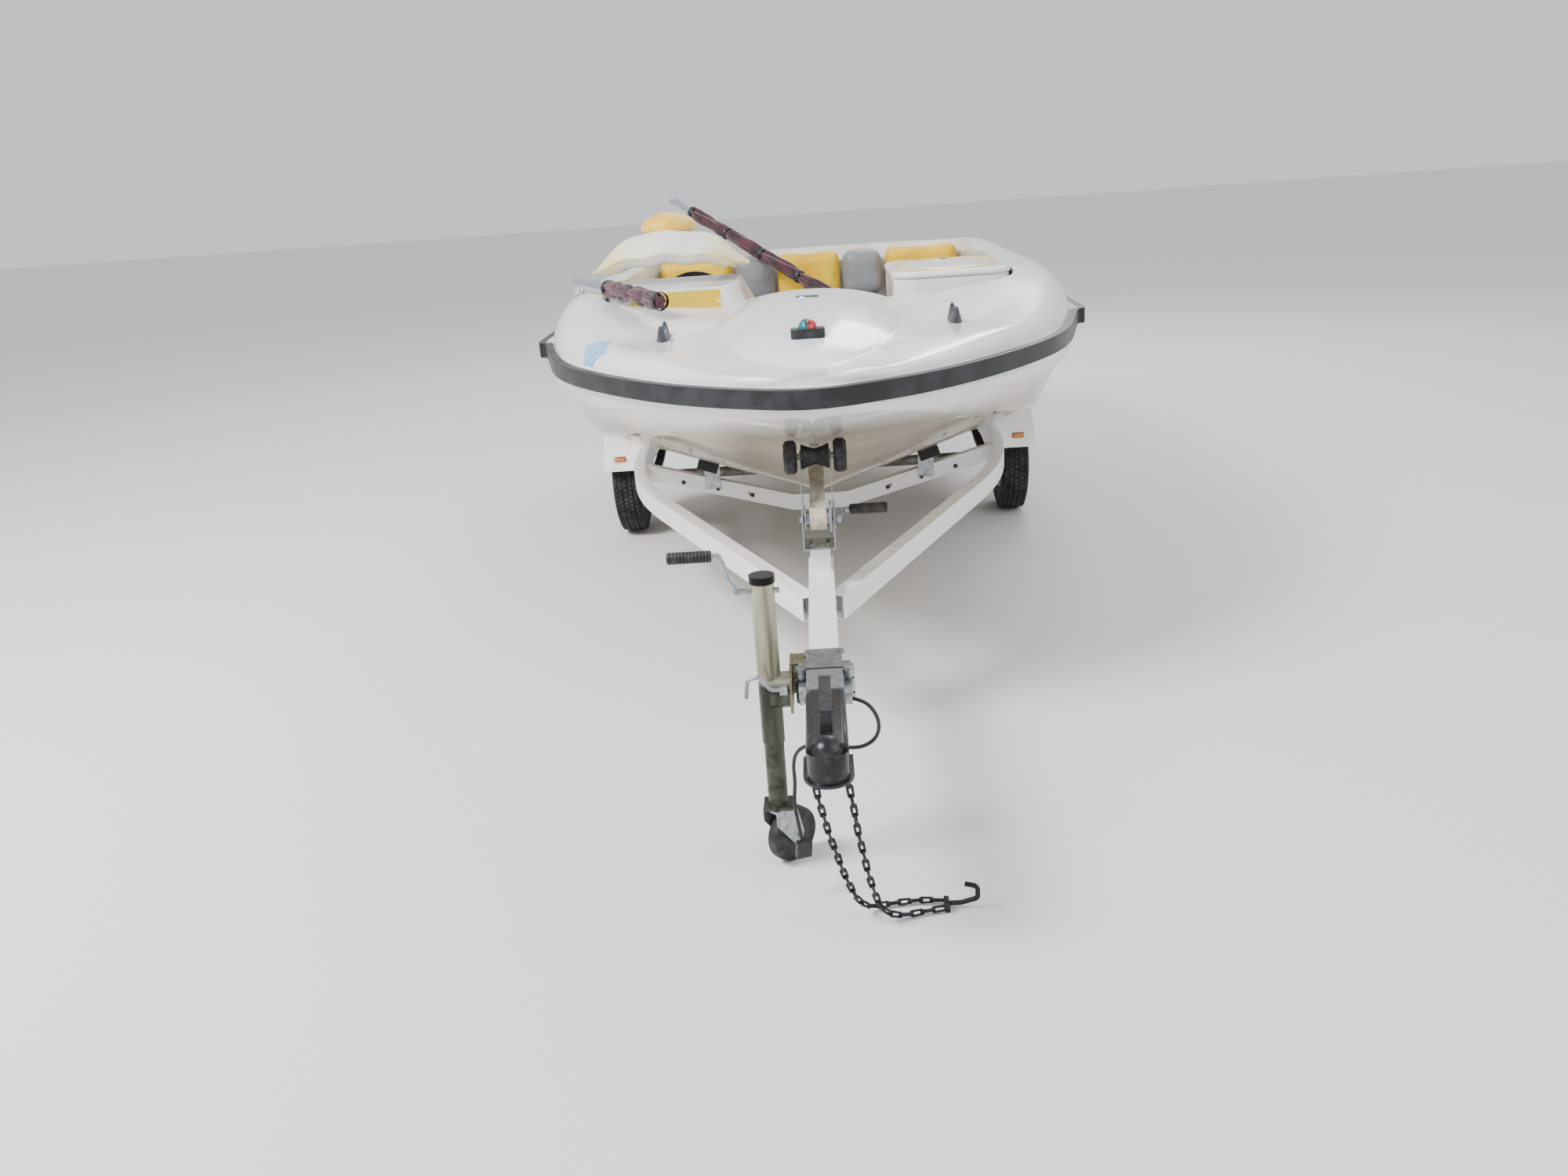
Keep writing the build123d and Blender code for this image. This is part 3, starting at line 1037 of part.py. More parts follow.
caster_place = Pos(JACK_X, JACK_Y, 0) * Rot(0, 0, -CASTER_TURN)
FORK_TOP = INNER_LOW - 8 - CLEARANCE
fork = block(-27, 27, -32, 34, FORK_TOP - 7, FORK_TOP)
for side in (1, -1):
    cheek = side_profile(
        [(-32, FORK_TOP), (34, FORK_TOP), (CASTER_TRAIL + 18, CASTER_RADIUS + 10),
         (CASTER_TRAIL + 12, CASTER_RADIUS - 16), (CASTER_TRAIL - 16, CASTER_RADIUS - 14),
         (-32, FORK_TOP - 40)],
        side * 23, side * 27,
    )
    fork += cheek
fork -= rod_z(KINGPIN + 0.06, 100, 200, 0, 0)
fork += rod_x(6, -33, 33, CASTER_TRAIL, CASTER_RADIUS)
keep(caster_place * fork, "jack_fork")
roller = rod_x(CASTER_RADIUS, -CASTER_WIDTH / 2, CASTER_WIDTH / 2, CASTER_TRAIL, CASTER_RADIUS)
roller = fillet(roller.edges(), 8)
roller += rod_x(14, -22, 22, CASTER_TRAIL, CASTER_RADIUS)
roller -= rod_x(6.06, -40, 40, CASTER_TRAIL, CASTER_RADIUS)
keep(caster_place * roller, "jack_wheel")

# ================================================================ strap, eye, chains and lead
EYE_Y = -1165.0
eye_z = stem_height(EYE_Y - BOW_Y)
eye = Pos(0, EYE_Y, eye_z - 18) * Rot(0, 90, 0) * Torus(18, 5)
eye += Pos(0, EYE_Y, eye_z) * Rot(-22, 0, 0) * Box(30, 70, 12)
keep(eye - hull_solid(), "bow_eye")
strap_start = (0, DRUM_Y + 8, DRUM_Z + 24)
strap_end = (0, EYE_Y - 8, eye_z - 40)
strap_vector = Vector(*strap_end) - Vector(*strap_start)
strap_mid = (Vector(*strap_end) + Vector(*strap_start)) * 0.5
strap_plane = Plane(origin=strap_mid, x_dir=(1, 0, 0), z_dir=strap_vector)
keep(strap_plane * Box(50, 3, strap_vector.length), "winch_strap")


def cord_tube(points, radius, name):
    """A tube of straight runs and arcs through the points."""
    corners = []
    for before, at, after in zip(points, points[1:], points[2:]):
        first = Vector(*at) - Vector(*before)
        second = Vector(*after) - Vector(*at)
        turn = radians(first.get_angle(second))
        run = min(first.length, second.length)
        corners.append(0.45 * run / tan(turn / 2))
    print(name, "bend radii", [round(r) for r in corners])
    path = FilletPolyline(*points, radius=corners)
    tube = sweep(Plane(origin=path @ 0, z_dir=path % 0) * Circle(radius), path=path)
    share = tube.volume / (pi * radius**2 * path.length)
    print(name, "length", round(path.length), "volume share", round(share, 3))
    return tube


CHAIN_RADIUS = 10.0
PORT_CHAIN = [
    (40, -2590, 432), (44, -2588, 388), (51, -2578, 335), (56, -2570, 277), (66, -2556, 218),
    (74, -2548, 160), (86, -2534, 104), (97, -2524, 58), (120, -2510, 24), (158, -2500, 12),
    (203, -2487, 11.5), (250, -2478, 11.5),
]
STARBOARD_CHAIN = [
    (-32, -2590, 432), (-29, -2586, 386), (-18, -2576, 330), (-8, -2560, 270), (6, -2543, 210),
    (18, -2524, 152), (34, -2504, 94), (52, -2486, 44), (82, -2466, 16), (120, -2450, 11.5),
    (160, -2444, 11.5), (204, -2440, 12), (250, -2446, 11.5),
]
keep(cord_tube(PORT_CHAIN, CHAIN_RADIUS, "chain_port"), "chain_port")
keep(cord_tube(STARBOARD_CHAIN, CHAIN_RADIUS, "chain_starboard"), "chain_starboard")
chain_eye = Part()
for x in (40, -32):
    chain_eye += block(x - 9, x + 9, -2600, -2580, 434, COUPLER_LOW + 1)
keep(coupler + chain_eye, "coupler")
hook_line = FilletPolyline(
    (252, -2462, 14), (290, -2462, 14), (330, -2470, 30), (330, -2470, 62), (300, -2464, 66),
    radius=[14, 12, 12],
)
s_hook = sweep(Plane(origin=hook_line @ 0, z_dir=hook_line % 0) * Circle(6), path=hook_line)
s_hook += block(252, 264, -2484, -2440, 3, 20)
keep(s_hook, "chain_hook")

LEAD_RADIUS = 4.5
LEAD = [
    (62, -2340, 500), (84, -2346, 497), (108, -2362, 482), (122, -2386, 455), (112, -2410, 428),
    (78, -2424, 414), (36, -2428, 418), (-8, -2420, 424), (-48, -2404, 418), (-76, -2384, 392),
    (-86, -2368, 350), (-84, -2362, 300), (-90, -2366, 250), (-84, -2374, 200), (-76, -2378, 150),
]
lead = cord_tube(LEAD, LEAD_RADIUS, "lead")
keep(lead, "wiring_lead")
keep(front_hinge + block(side_in + 1, 62, -2350, -2330, 490, 510) - lead, "tongue_hinge_front")
keep(Pos(-74, -2380, 130) * Rot(8, 6, 20) * Box(38, 14, 46) - lead, "lead_plug")

print("nodes", len(written))
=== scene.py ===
import json
from math import copysign, cos, pi, radians, sin

import bmesh
import bpy
from mathutils import Matrix, Vector, noise
from mathutils.bvhtree import BVHTree


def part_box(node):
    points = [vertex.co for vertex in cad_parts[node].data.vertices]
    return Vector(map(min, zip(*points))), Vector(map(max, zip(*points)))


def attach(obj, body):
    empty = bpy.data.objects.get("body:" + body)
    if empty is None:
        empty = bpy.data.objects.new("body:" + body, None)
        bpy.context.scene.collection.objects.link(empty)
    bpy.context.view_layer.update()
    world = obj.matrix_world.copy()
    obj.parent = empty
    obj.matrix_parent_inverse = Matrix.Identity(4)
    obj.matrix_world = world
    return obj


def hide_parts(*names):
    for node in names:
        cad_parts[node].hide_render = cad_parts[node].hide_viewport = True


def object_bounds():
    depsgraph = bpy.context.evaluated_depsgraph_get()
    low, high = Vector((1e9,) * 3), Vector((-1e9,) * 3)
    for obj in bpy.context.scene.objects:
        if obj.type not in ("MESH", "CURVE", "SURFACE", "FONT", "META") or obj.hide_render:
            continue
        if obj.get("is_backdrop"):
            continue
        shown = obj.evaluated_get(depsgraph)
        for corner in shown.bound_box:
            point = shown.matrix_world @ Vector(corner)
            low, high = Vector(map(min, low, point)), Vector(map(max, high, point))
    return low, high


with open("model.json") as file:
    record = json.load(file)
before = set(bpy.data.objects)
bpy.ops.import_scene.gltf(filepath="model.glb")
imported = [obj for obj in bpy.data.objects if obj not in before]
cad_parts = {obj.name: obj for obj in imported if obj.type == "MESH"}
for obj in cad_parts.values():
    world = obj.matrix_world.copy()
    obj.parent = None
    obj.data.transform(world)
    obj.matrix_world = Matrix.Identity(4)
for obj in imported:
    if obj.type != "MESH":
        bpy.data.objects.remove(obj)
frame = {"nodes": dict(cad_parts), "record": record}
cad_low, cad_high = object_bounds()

# ---------------------------------------------------------------- camera
# Someone standing a pace ahead of the coupler looks down the tongue at the bow, with the head
# tilted a little to one side.
EYE = Vector((0.03, -4.945, 1.685))
YAW, PITCH, ROLL = (radians(degrees) for degrees in (2.398, 19.109, -4.048))
ahead = Vector((-sin(YAW) * cos(PITCH), cos(YAW) * cos(PITCH), -sin(PITCH)))
level = ahead.cross(Vector((0, 0, 1))).normalized()
upward = level.cross(ahead)
rightward = cos(ROLL) * level + sin(ROLL) * upward
headward = cos(ROLL) * upward - sin(ROLL) * level
camera = bpy.data.objects.new("camera", bpy.data.cameras.new("camera"))
bpy.context.scene.collection.objects.link(camera)
axes = Matrix((rightward, headward, -ahead)).transposed().to_4x4()
camera.matrix_world = Matrix.Translation(EYE) @ axes
camera.data.lens = 28.0
bpy.context.scene.camera = camera

# ---------------------------------------------------------------- studio
# A pale seamless floor, one broad soft light high on the left, a fill on the right and an even
# bright sky. None of it belongs to the boat.


def rgb(hex_code):
    """An sRGB hex colour as linear red, green, blue and full alpha."""
    parts = [int(hex_code[i:i + 2], 16) / 255 for i in (1, 3, 5)]
    return tuple(c / 12.92 if c <= 0.04045 else ((c + 0.055) / 1.055) ** 2.4 for c in parts) + (1.0,)


def add(material, kind, links=None, stops=None, **settings):
    """Adds one node to a material, with its settings, its ramp's stops and the links into it."""
    node = material.node_tree.nodes.new(kind)
    for name, value in settings.items():
        label = name.replace("_", " ").lower()
        sockets = [socket for socket in node.inputs if socket.name.lower() == label]
        if sockets:
            sockets[0].default_value = value
        else:
            setattr(node, name, value)
    for at, (position, hex_code) in enumerate(stops or ()):
        if at > 1:
            node.color_ramp.elements.new(position)
        node.color_ramp.elements[at].position = position
        node.color_ramp.elements[at].color = rgb(hex_code)
    for name, source in (links or {}).items():
        output = source if isinstance(source, bpy.types.NodeSocket) else source.outputs[0]
        material.node_tree.links.new(output, node.inputs[name])
    return node


def begin(name, **sockets):
    """A new material with its shader, whose sockets are set by name."""
    material = bpy.data.materials.new(name)
    material.use_nodes = True
    shader = material.node_tree.nodes["Principled BSDF"]
    for label, value in sockets.items():
        shader.inputs[label.replace("_", " ")].default_value = value
    return material, shader


floor_paint, shader = begin("studio_floor", Roughness=0.9, Base_Color=rgb("#E9E8E6"))
FLOOR_HALF = 40.0
bm = bmesh.new()
bmesh.ops.create_grid(bm, x_segments=1, y_segments=1, size=FLOOR_HALF)
floor_mesh = bpy.data.meshes.new("studio_floor")
bm.to_mesh(floor_mesh)
bm.free()
floor_mesh.materials.append(floor_paint)
studio_floor = bpy.data.objects.new("studio_floor", floor_mesh)
bpy.context.scene.collection.objects.link(studio_floor)
studio_floor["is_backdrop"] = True

sky = bpy.data.worlds.new("studio_sky")
sky.use_nodes = True
sky.node_tree.nodes["Background"].inputs["Color"].default_value = rgb("#F3F5F8")
sky.node_tree.nodes["Background"].inputs["Strength"].default_value = 0.95
bpy.context.scene.world = sky
for label, place, size, power in (
    ("key_light", (-4.5, -3.5, 6.0), 2.4, 760.0),
    ("fill_light", (5.0, -4.0, 4.0), 4.0, 130.0),
    ("back_light", (2.0, 6.0, 5.5), 3.0, 220.0),
):
    lamp = bpy.data.lights.new(label, "AREA")
    lamp.size = size
    lamp.energy = power
    light = bpy.data.objects.new(label, lamp)
    light.location = place
    light.rotation_euler = (Vector((0, 0, 0.7)) - Vector(place)).to_track_quat("-Z", "Y").to_euler()
    bpy.context.scene.collection.objects.link(light)

# ---------------------------------------------------------------- safety chains
# Two lengths of short-link steel chain, painted black and rubbed bare where the links bear on
# each other. They hang from the coupler's lugs and lie on the ground up to the hook.
bodies = frame["record"]["behaviour"]["bodies"]


def body_with(node):
    """The CAD body that a node belongs to."""
    return next(name for name, nodes in bodies.items() if node in nodes)


def make(name, bm, material, node, smooth=35.0, stands=False):
    """Turns a bmesh into a piece that rides with a CAD node, and stands for it if told."""
    mesh = bpy.data.meshes.new(name)
    bm.to_mesh(mesh)
    bm.free()
    mesh.polygons.foreach_set("use_smooth", [True] * len(mesh.polygons))
    mesh.set_sharp_from_angle(angle=radians(smooth))
    mesh.materials.append(material)
    piece = bpy.data.objects.new(name, mesh)
    bpy.context.scene.collection.objects.link(piece)
    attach(piece, body_with(node))
    if stands:
        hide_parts(node)
    return piece


def route_curve(name, points, radius):
    """A smooth cord along its route's points, as a NURBS curve with a round section."""
    curve = bpy.data.curves.new(name, "CURVE")
    curve.dimensions = "3D"
    spline = curve.splines.new("NURBS")
    spline.points.add(len(points) - 1)
    for knot, point in zip(spline.points, points):
        knot.co = (*point, 1.0)
    spline.order_u = 3
    spline.use_endpoint_u = True
    curve.resolution_u = 8
    curve.bevel_depth = radius
    curve.bevel_resolution = 4
    curve.use_fill_caps = True
    return bpy.data.objects.new(name, curve)


def line_points(curve_object):
    """Points read from a curve with no bevel."""
    mesh = bpy.data.meshes.new_from_object(curve_object)
    found = [vertex.co.copy() for vertex in mesh.vertices]
    bpy.data.meshes.remove(mesh)
    return found


def along(points, distance):
    """Place and direction at a distance along a line of points."""
    for first, second in zip(points, points[1:]):
        step = (second - first).length
        if distance <= step:
            return first.lerp(second, distance / step), (second - first).normalized()
        distance -= step
    return points[-1].copy(), (points[-1] - points[-2]).normalized()


def length_of(points):
    """Length of a line of points."""
    return sum((b - a).length for a, b in zip(points, points[1:]))


def feed(shader, **sources):
    """Links nodes into a shader's sockets by name."""
    for label, source in sources.items():
        shader.id_data.links.new(source.outputs[0], shader.inputs[label.replace("_", " ")])


def object_point(material, **mapping):
    """Object coordinates of a material, turned or stretched by a mapping if one is given."""
    place = add(material, "ShaderNodeTexCoord").outputs["Object"]
    return add(material, "ShaderNodeMapping", {"Vector": place}, **mapping).outputs[0] if mapping else place


def mottled(name, scale, detail, dark, light, grain=None, **sockets):
    """A material that drifts between two tones. Its grain has pores of its own or follows the drift."""
    material, shader = begin(name, **sockets)
    point = object_point(material)
    drift = add(material, "ShaderNodeTexNoise", {"Vector": point}, scale=scale, detail=detail)
    inputs = {"Base_Color": add(material, "ShaderNodeValToRGB", {"Fac": drift}, (dark, light))}
    if grain:
        pores, strength, distance = grain
        height = drift
        if pores:
            height = add(material, "ShaderNodeTexNoise", {"Vector": point}, scale=pores[0], detail=pores[1])
        inputs["Normal"] = add(
            material, "ShaderNodeBump", {"Height": height}, strength=strength, distance=distance,
        )
    feed(shader, **inputs)
    return material


# black enamel over steel, chipped to a dull grey where it rubs
chain_steel = mottled(
    "black_painted_chain_steel", 90.0, 6.0, (0.45, "#0E0F12"), (0.75, "#3A3C42"), (None, 0.35, 0.001),
    Roughness=0.42, Metallic=0.35,
)

WIRE = 0.0032  # radius of the chain's wire
LINK_INSIDE = 0.0058  # half the gap between a link's sides, plus the wire
LINK_STRAIGHT = 0.0105  # half of a link's straight side
LINK_PITCH = 0.0265
CHAINS = {
    "chain_port": [
        (0.040, -2.590, 0.432), (0.044, -2.588, 0.388), (0.051, -2.578, 0.335), (0.056, -2.570, 0.277),
        (0.066, -2.556, 0.218), (0.074, -2.548, 0.160), (0.086, -2.534, 0.104), (0.097, -2.524, 0.058),
        (0.120, -2.510, 0.024), (0.158, -2.500, 0.012), (0.203, -2.487, 0.0115), (0.250, -2.478, 0.0115),
    ],
    "chain_starboard": [
        (-0.032, -2.590, 0.432), (-0.029, -2.586, 0.386), (-0.018, -2.576, 0.330), (-0.008, -2.560, 0.270),
        (0.006, -2.543, 0.210), (0.018, -2.524, 0.152), (0.034, -2.504, 0.094), (0.052, -2.486, 0.044),
        (0.082, -2.466, 0.016), (0.120, -2.450, 0.0115), (0.160, -2.444, 0.0115), (0.204, -2.440, 0.012),
        (0.250, -2.446, 0.0115),
    ],
}


def stamp(bm, pattern, matrix):
    """Adds a copy of a small mesh to a bmesh, put in place by a matrix."""
    start = len(bm.verts)
    bm.from_mesh(pattern)
    bm.verts.ensure_lookup_table()
    bmesh.ops.transform(bm, verts=bm.verts[start:], matrix=matrix)


def closed(bm, distance=1e-6):
    """Merges doubled points and turns every face outwards."""
    bmesh.ops.remove_doubles(bm, verts=bm.verts, dist=distance)
    bmesh.ops.recalc_face_normals(bm, faces=bm.faces)
    return bm


def pattern_mesh(name, bm):
    """Keeps a bmesh as a mesh that is stamped many times."""
    mesh = bpy.data.meshes.new(name)
    closed(bm).to_mesh(mesh)
    bm.free()
    return mesh


def ring_mesh(bm, section, radius, steps, turn=2 * pi):
    """Spins a small circle of the section's radius into a ring about Z."""
    circle = bmesh.ops.create_circle(bm, segments=8, radius=section, matrix=Matrix.Rotation(pi / 2, 4, "X"))
    bmesh.ops.translate(bm, verts=circle["verts"], vec=(radius, 0, 0))
    bmesh.ops.spin(
        bm, geom=bm.verts[:] + bm.edges[:], axis=(0, 0, 1), cent=(0, 0, 0), angle=turn, steps=steps,
        use_merge=turn > 6.28,
    )


link = bmesh.new()
ring_mesh(link, WIRE, LINK_INSIDE, 14)
for vertex in link.verts:
    vertex.co.y += LINK_STRAIGHT if vertex.co.y > 0.0001 else -LINK_STRAIGHT
link_pattern = pattern_mesh("chain_link", link)
chain_lengths = {}
for name, points in CHAINS.items():
    guide = route_curve(name + "_line", points, 0.0)
    line = line_points(guide)
    bpy.data.objects.remove(guide)
    chain_lengths[name] = length_of(line)
    links = round(chain_lengths[name] / LINK_PITCH)
    bm = bmesh.new()
    for k in range(links):
        spot, heading = along(line, (k + 0.5) * chain_lengths[name] / links)
        facing = heading.to_track_quat("Y", "Z").to_matrix().to_4x4()
        turned = Matrix.Rotation(radians(40) + (k % 2) * pi / 2, 4, "Y")
        stamp(bm, link_pattern, Matrix.Translation(spot) @ facing @ turned)
    piece = make(name + "_links", bm, chain_steel, name, smooth=80, stands=True)
frame["nodes"]["chain_hook"].data.materials.clear()
frame["nodes"]["chain_hook"].data.materials.append(chain_steel)

# ---------------------------------------------------------------- wiring lead
# A thin black jacketed cable for the trailer lamps, looped once beside the tongue and let down
# past the jack, with a flat four-way plug moulded on its end.
jacket = mottled(
    "black_pvc_cable_jacket", 60.0, 5.0, (0.4, "#101113"), (0.8, "#2A2B2D"), (None, 0.2, 0.0005), Roughness=0.48,
)
LEAD_RADIUS = 0.0045
LEAD = [
    (0.062, -2.340, 0.500), (0.084, -2.346, 0.497), (0.108, -2.362, 0.482), (0.122, -2.386, 0.455),
    (0.112, -2.410, 0.428), (0.078, -2.424, 0.414), (0.036, -2.428, 0.418), (-0.008, -2.420, 0.424),
    (-0.048, -2.404, 0.418), (-0.076, -2.384, 0.392), (-0.086, -2.368, 0.350), (-0.084, -2.362, 0.300),
    (-0.090, -2.366, 0.250), (-0.084, -2.374, 0.200), (-0.076, -2.378, 0.150),
]
guide = route_curve("lead_line", LEAD, 0.0)
lead_length = length_of(line_points(guide))
bpy.data.objects.remove(guide)
lead = route_curve("lamp_wiring_lead", LEAD, LEAD_RADIUS)
lead.data.materials.append(jacket)
bpy.context.scene.collection.objects.link(lead)
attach(lead, "tongue_front_end")
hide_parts("wiring_lead")

# ---------------------------------------------------------------- hull
# The bottom moulding: white gelcoat over glass laminate. An upright band runs under the rail and
# stays white. The planing bottom below it is a blotchy tan, a painted reflection of the tan ground, with streaked
# gloss.


def paint(node, material):
    """Gives a CAD node its material."""
    data = frame["nodes"][node].data
    data.materials.clear()
    data.materials.append(material)


def skin(node, material, bevel=0.0, smooth=35.0, segments=2):
    """A merged copy of a CAD node with softened edges, which stands for it."""
    bm = bmesh.new()
    bm.from_mesh(frame["nodes"][node].data)
    bmesh.ops.remove_doubles(bm, verts=bm.verts, dist=2e-5)
    bmesh.ops.dissolve_limit(bm, angle_limit=radians(0.6), verts=bm.verts, edges=bm.edges)
    piece = make(node + "_skin", bm, material, node, smooth, stands=True)
    if bevel:
        rounding = piece.modifiers.new("rounding", "BEVEL")
        rounding.width = bevel
        rounding.segments = segments
        rounding.limit_method = "ANGLE"
        rounding.angle_limit = radians(smooth)
        rounding.harden_normals = True
    return piece


hull_gelcoat, shader = begin("white_gelcoat_painted_ground_reflection", Roughness=0.16, Coat_Weight=0.6, Coat_Roughness=0.06)
point = object_point(hull_gelcoat)
height = add(hull_gelcoat, "ShaderNodeSeparateXYZ", {"Vector": point}).outputs["Z"]
blotch = add(hull_gelcoat, "ShaderNodeTexNoise", {"Vector": point}, scale=3.0, detail=7.0, roughness=0.6)
# Painted reflection: below the band under the rail, the tan ramp stands in for tan ground mirrored in the gelcoat.
reflection_fade_to_white = add(hull_gelcoat, "ShaderNodeMapRange", {"Value": height}, from_min=0.90, from_max=0.985)
painted_ground_reflection = add(
    hull_gelcoat, "ShaderNodeValToRGB", {"Fac": blotch}, ((0.30, "#857862"), (0.52, "#A6987F"), (0.72, "#C4B9A3")),
)
fresh = add(hull_gelcoat, "ShaderNodeValToRGB", {"Fac": blotch}, ((0.3, "#E6E5E2"), (0.7, "#F3F2EF")))
body_tone = add(
    hull_gelcoat, "ShaderNodeMixRGB", {"Fac": reflection_fade_to_white, "Color1": painted_ground_reflection, "Color2": fresh},
)
smear_point = object_point(hull_gelcoat, scale=(6.0, 1.2, 14.0))
smear = add(hull_gelcoat, "ShaderNodeTexNoise", {"Vector": smear_point}, scale=2.2, detail=8.0)
dull = add(hull_gelcoat, "ShaderNodeMapRange", {"Value": smear}, from_min=0.3, from_max=0.75, to_min=0.1, to_max=0.34)
print_through = add(hull_gelcoat, "ShaderNodeTexNoise", {"Vector": point}, scale=11.0, detail=2.0)
ripple = add(hull_gelcoat, "ShaderNodeBump", {"Height": print_through}, strength=0.12, distance=0.004)
feed(shader, Base_Color=body_tone, Roughness=dull, Normal=ripple)
skin("hull", hull_gelcoat, smooth=28)

# ---------------------------------------------------------------- rub rail
# Extruded black rubber bumper that caps the joint of hull and deck, held by a rounded bead that
# is pressed into its middle. Docks have left pale rubs along its crown.
rail_rubber, shader = begin("black_extruded_rubber", Roughness=0.38)
point = object_point(rail_rubber)
rub = add(rail_rubber, "ShaderNodeTexNoise", {"Vector": point}, scale=7.0, detail=9.0, roughness=0.7)
tone = add(rail_rubber, "ShaderNodeValToRGB", {"Fac": rub}, ((0.48, "#141518"), (0.80, "#3B3D42")))
gloss = add(rail_rubber, "ShaderNodeMapRange", {"Value": rub}, from_min=0.3, from_max=0.8, to_min=0.28, to_max=0.6)
pores = add(rail_rubber, "ShaderNodeTexNoise", {"Vector": point}, scale=420.0, detail=2.0)
grain = add(rail_rubber, "ShaderNodeBump", {"Height": pores}, strength=0.15, distance=0.0006)
feed(shader, Base_Color=tone, Roughness=gloss, Normal=grain)
skin("rub_rail", rail_rubber, bevel=0.013, smooth=50, segments=4)

# ---------------------------------------------------------------- deck and liner
# The upper moulding and the cockpit tub: brighter white gelcoat, polished on the crowns, with a
# moulded non-skid grain on the tub's floor. The tub's copy is darker and rougher all over.


def gelcoat(name, dark, light, roughness):
    """White gelcoat with a slow change of tone, dust and a slight orange peel."""
    material, shader = begin(name, Roughness=roughness, Coat_Weight=0.5, Coat_Roughness=0.05)
    point = object_point(material)
    drift = add(material, "ShaderNodeTexNoise", {"Vector": point}, scale=2.6, detail=8.0, roughness=0.65)
    tone = add(material, "ShaderNodeValToRGB", {"Fac": drift}, ((0.32, dark), (0.62, light)))
    dull = add(
        material, "ShaderNodeMapRange", {"Value": drift}, from_min=0.3, from_max=0.7,
        to_min=roughness * 0.7, to_max=roughness * 1.7,
    )
    peel = add(material, "ShaderNodeTexNoise", {"Vector": point}, scale=160.0, detail=1.0)
    skin_bump = add(material, "ShaderNodeBump", {"Height": peel}, strength=0.05, distance=0.001)
    feed(shader, Base_Color=tone, Roughness=dull, Normal=skin_bump)
    return material


deck_gelcoat = gelcoat("white_gelcoat_polished", "#E4E5E6", "#F6F6F4", 0.15)
tub_gelcoat = gelcoat("white_gelcoat_tub", "#D5D4CF", "#EFEEEA", 0.3)
skin("deck", deck_gelcoat, bevel=0.004, smooth=24)
skin("engine_hatch", deck_gelcoat, bevel=0.005, smooth=30)
skin("helm_console", deck_gelcoat, bevel=0.008, smooth=32, segments=3)
skin("stowage_box", deck_gelcoat, bevel=0.006, smooth=32, segments=3)
skin("stowage_lid", deck_gelcoat, bevel=0.010, smooth=32, segments=4)
skin("cockpit_liner", tub_gelcoat, bevel=0.006, smooth=30, segments=3)

# ---------------------------------------------------------------- stowage lid fittings
# A moulded dome on the lid, a pressed yellow trim line round it, and a round flush latch with a
# black finger pull.
black_nylon = mottled(
    "black_moulded_nylon", 40.0, 5.0, (0.35, "#17181B"), (0.75, "#36383C"), ((900.0, 1.0), 0.25, 0.0004),
    Roughness=0.5,
)
yellow_trim = mottled(
    "yellow_vinyl_tape", 18.0, 6.0, (0.3, "#E3B81E"), (0.7, "#F6D23A"), Roughness=0.32,
)

lid_low, lid_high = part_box("stowage_lid")
lid_middle = (Vector(lid_low) + Vector(lid_high)) / 2
DOME_RISE = 0.010
bm = bmesh.new()
bmesh.ops.create_uvsphere(bm, u_segments=64, v_segments=32, radius=1.0)
bmesh.ops.bisect_plane(
    bm, geom=bm.verts[:] + bm.edges[:] + bm.faces[:], plane_co=(0, 0, 0.02), plane_no=(0, 0, -1), clear_outer=True,
)
bmesh.ops.scale(bm, vec=(0.175, 0.235, DOME_RISE), verts=bm.verts)
bmesh.ops.translate(bm, vec=(lid_middle.x, lid_middle.y, lid_high[2] - 0.0006), verts=bm.verts)
make("stowage_lid_dome", closed(bm), deck_gelcoat, "stowage_lid", smooth=60)


def tube_ring(name, half_x, half_y, centre, section, material, node):
    """A thin oval ring of round section, level, about a centre."""
    bm = bmesh.new()
    ring_mesh(bm, section, 1.0, 96)
    for vertex in bm.verts:
        flat = Vector((vertex.co.x, vertex.co.y, 0))
        out = flat.normalized()
        proud = flat.length - 1.0
        spot = Vector((out.x * (half_x + proud), out.y * (half_y + proud), vertex.co.z))
        vertex.co = spot + centre
    return make(name, closed(bm, 1e-7), material, node, smooth=80)


tube_ring(
    "stowage_lid_trim", 0.200, 0.262, Vector((lid_middle.x, lid_middle.y, lid_high[2])), 0.0035,
    yellow_trim, "stowage_lid",
)
bm = bmesh.new()
bmesh.ops.create_cone(bm, cap_ends=True, segments=40, radius1=0.034, radius2=0.031, depth=0.006)
bmesh.ops.translate(bm, vec=(lid_middle.x, lid_middle.y + 0.10, lid_high[2] + DOME_RISE - 0.001), verts=bm.verts)
make("stowage_latch", closed(bm), deck_gelcoat, "stowage_lid", smooth=40)
bm = bmesh.new()
bmesh.ops.create_cone(bm, cap_ends=True, segments=32, radius1=0.016, radius2=0.014, depth=0.004)
bmesh.ops.translate(bm, vec=(lid_middle.x, lid_middle.y + 0.088, lid_high[2] + DOME_RISE + 0.003), verts=bm.verts)
make("stowage_latch_pull", closed(bm), black_nylon, "stowage_lid", smooth=40)

# ---------------------------------------------------------------- upholstery
# Foam cushions, backs and bolsters sewn in coated marine fabric: yellow on the backs, grey on
# the bolsters and seats. They are stuffed tight, crowned, and welted along their boxing seams.


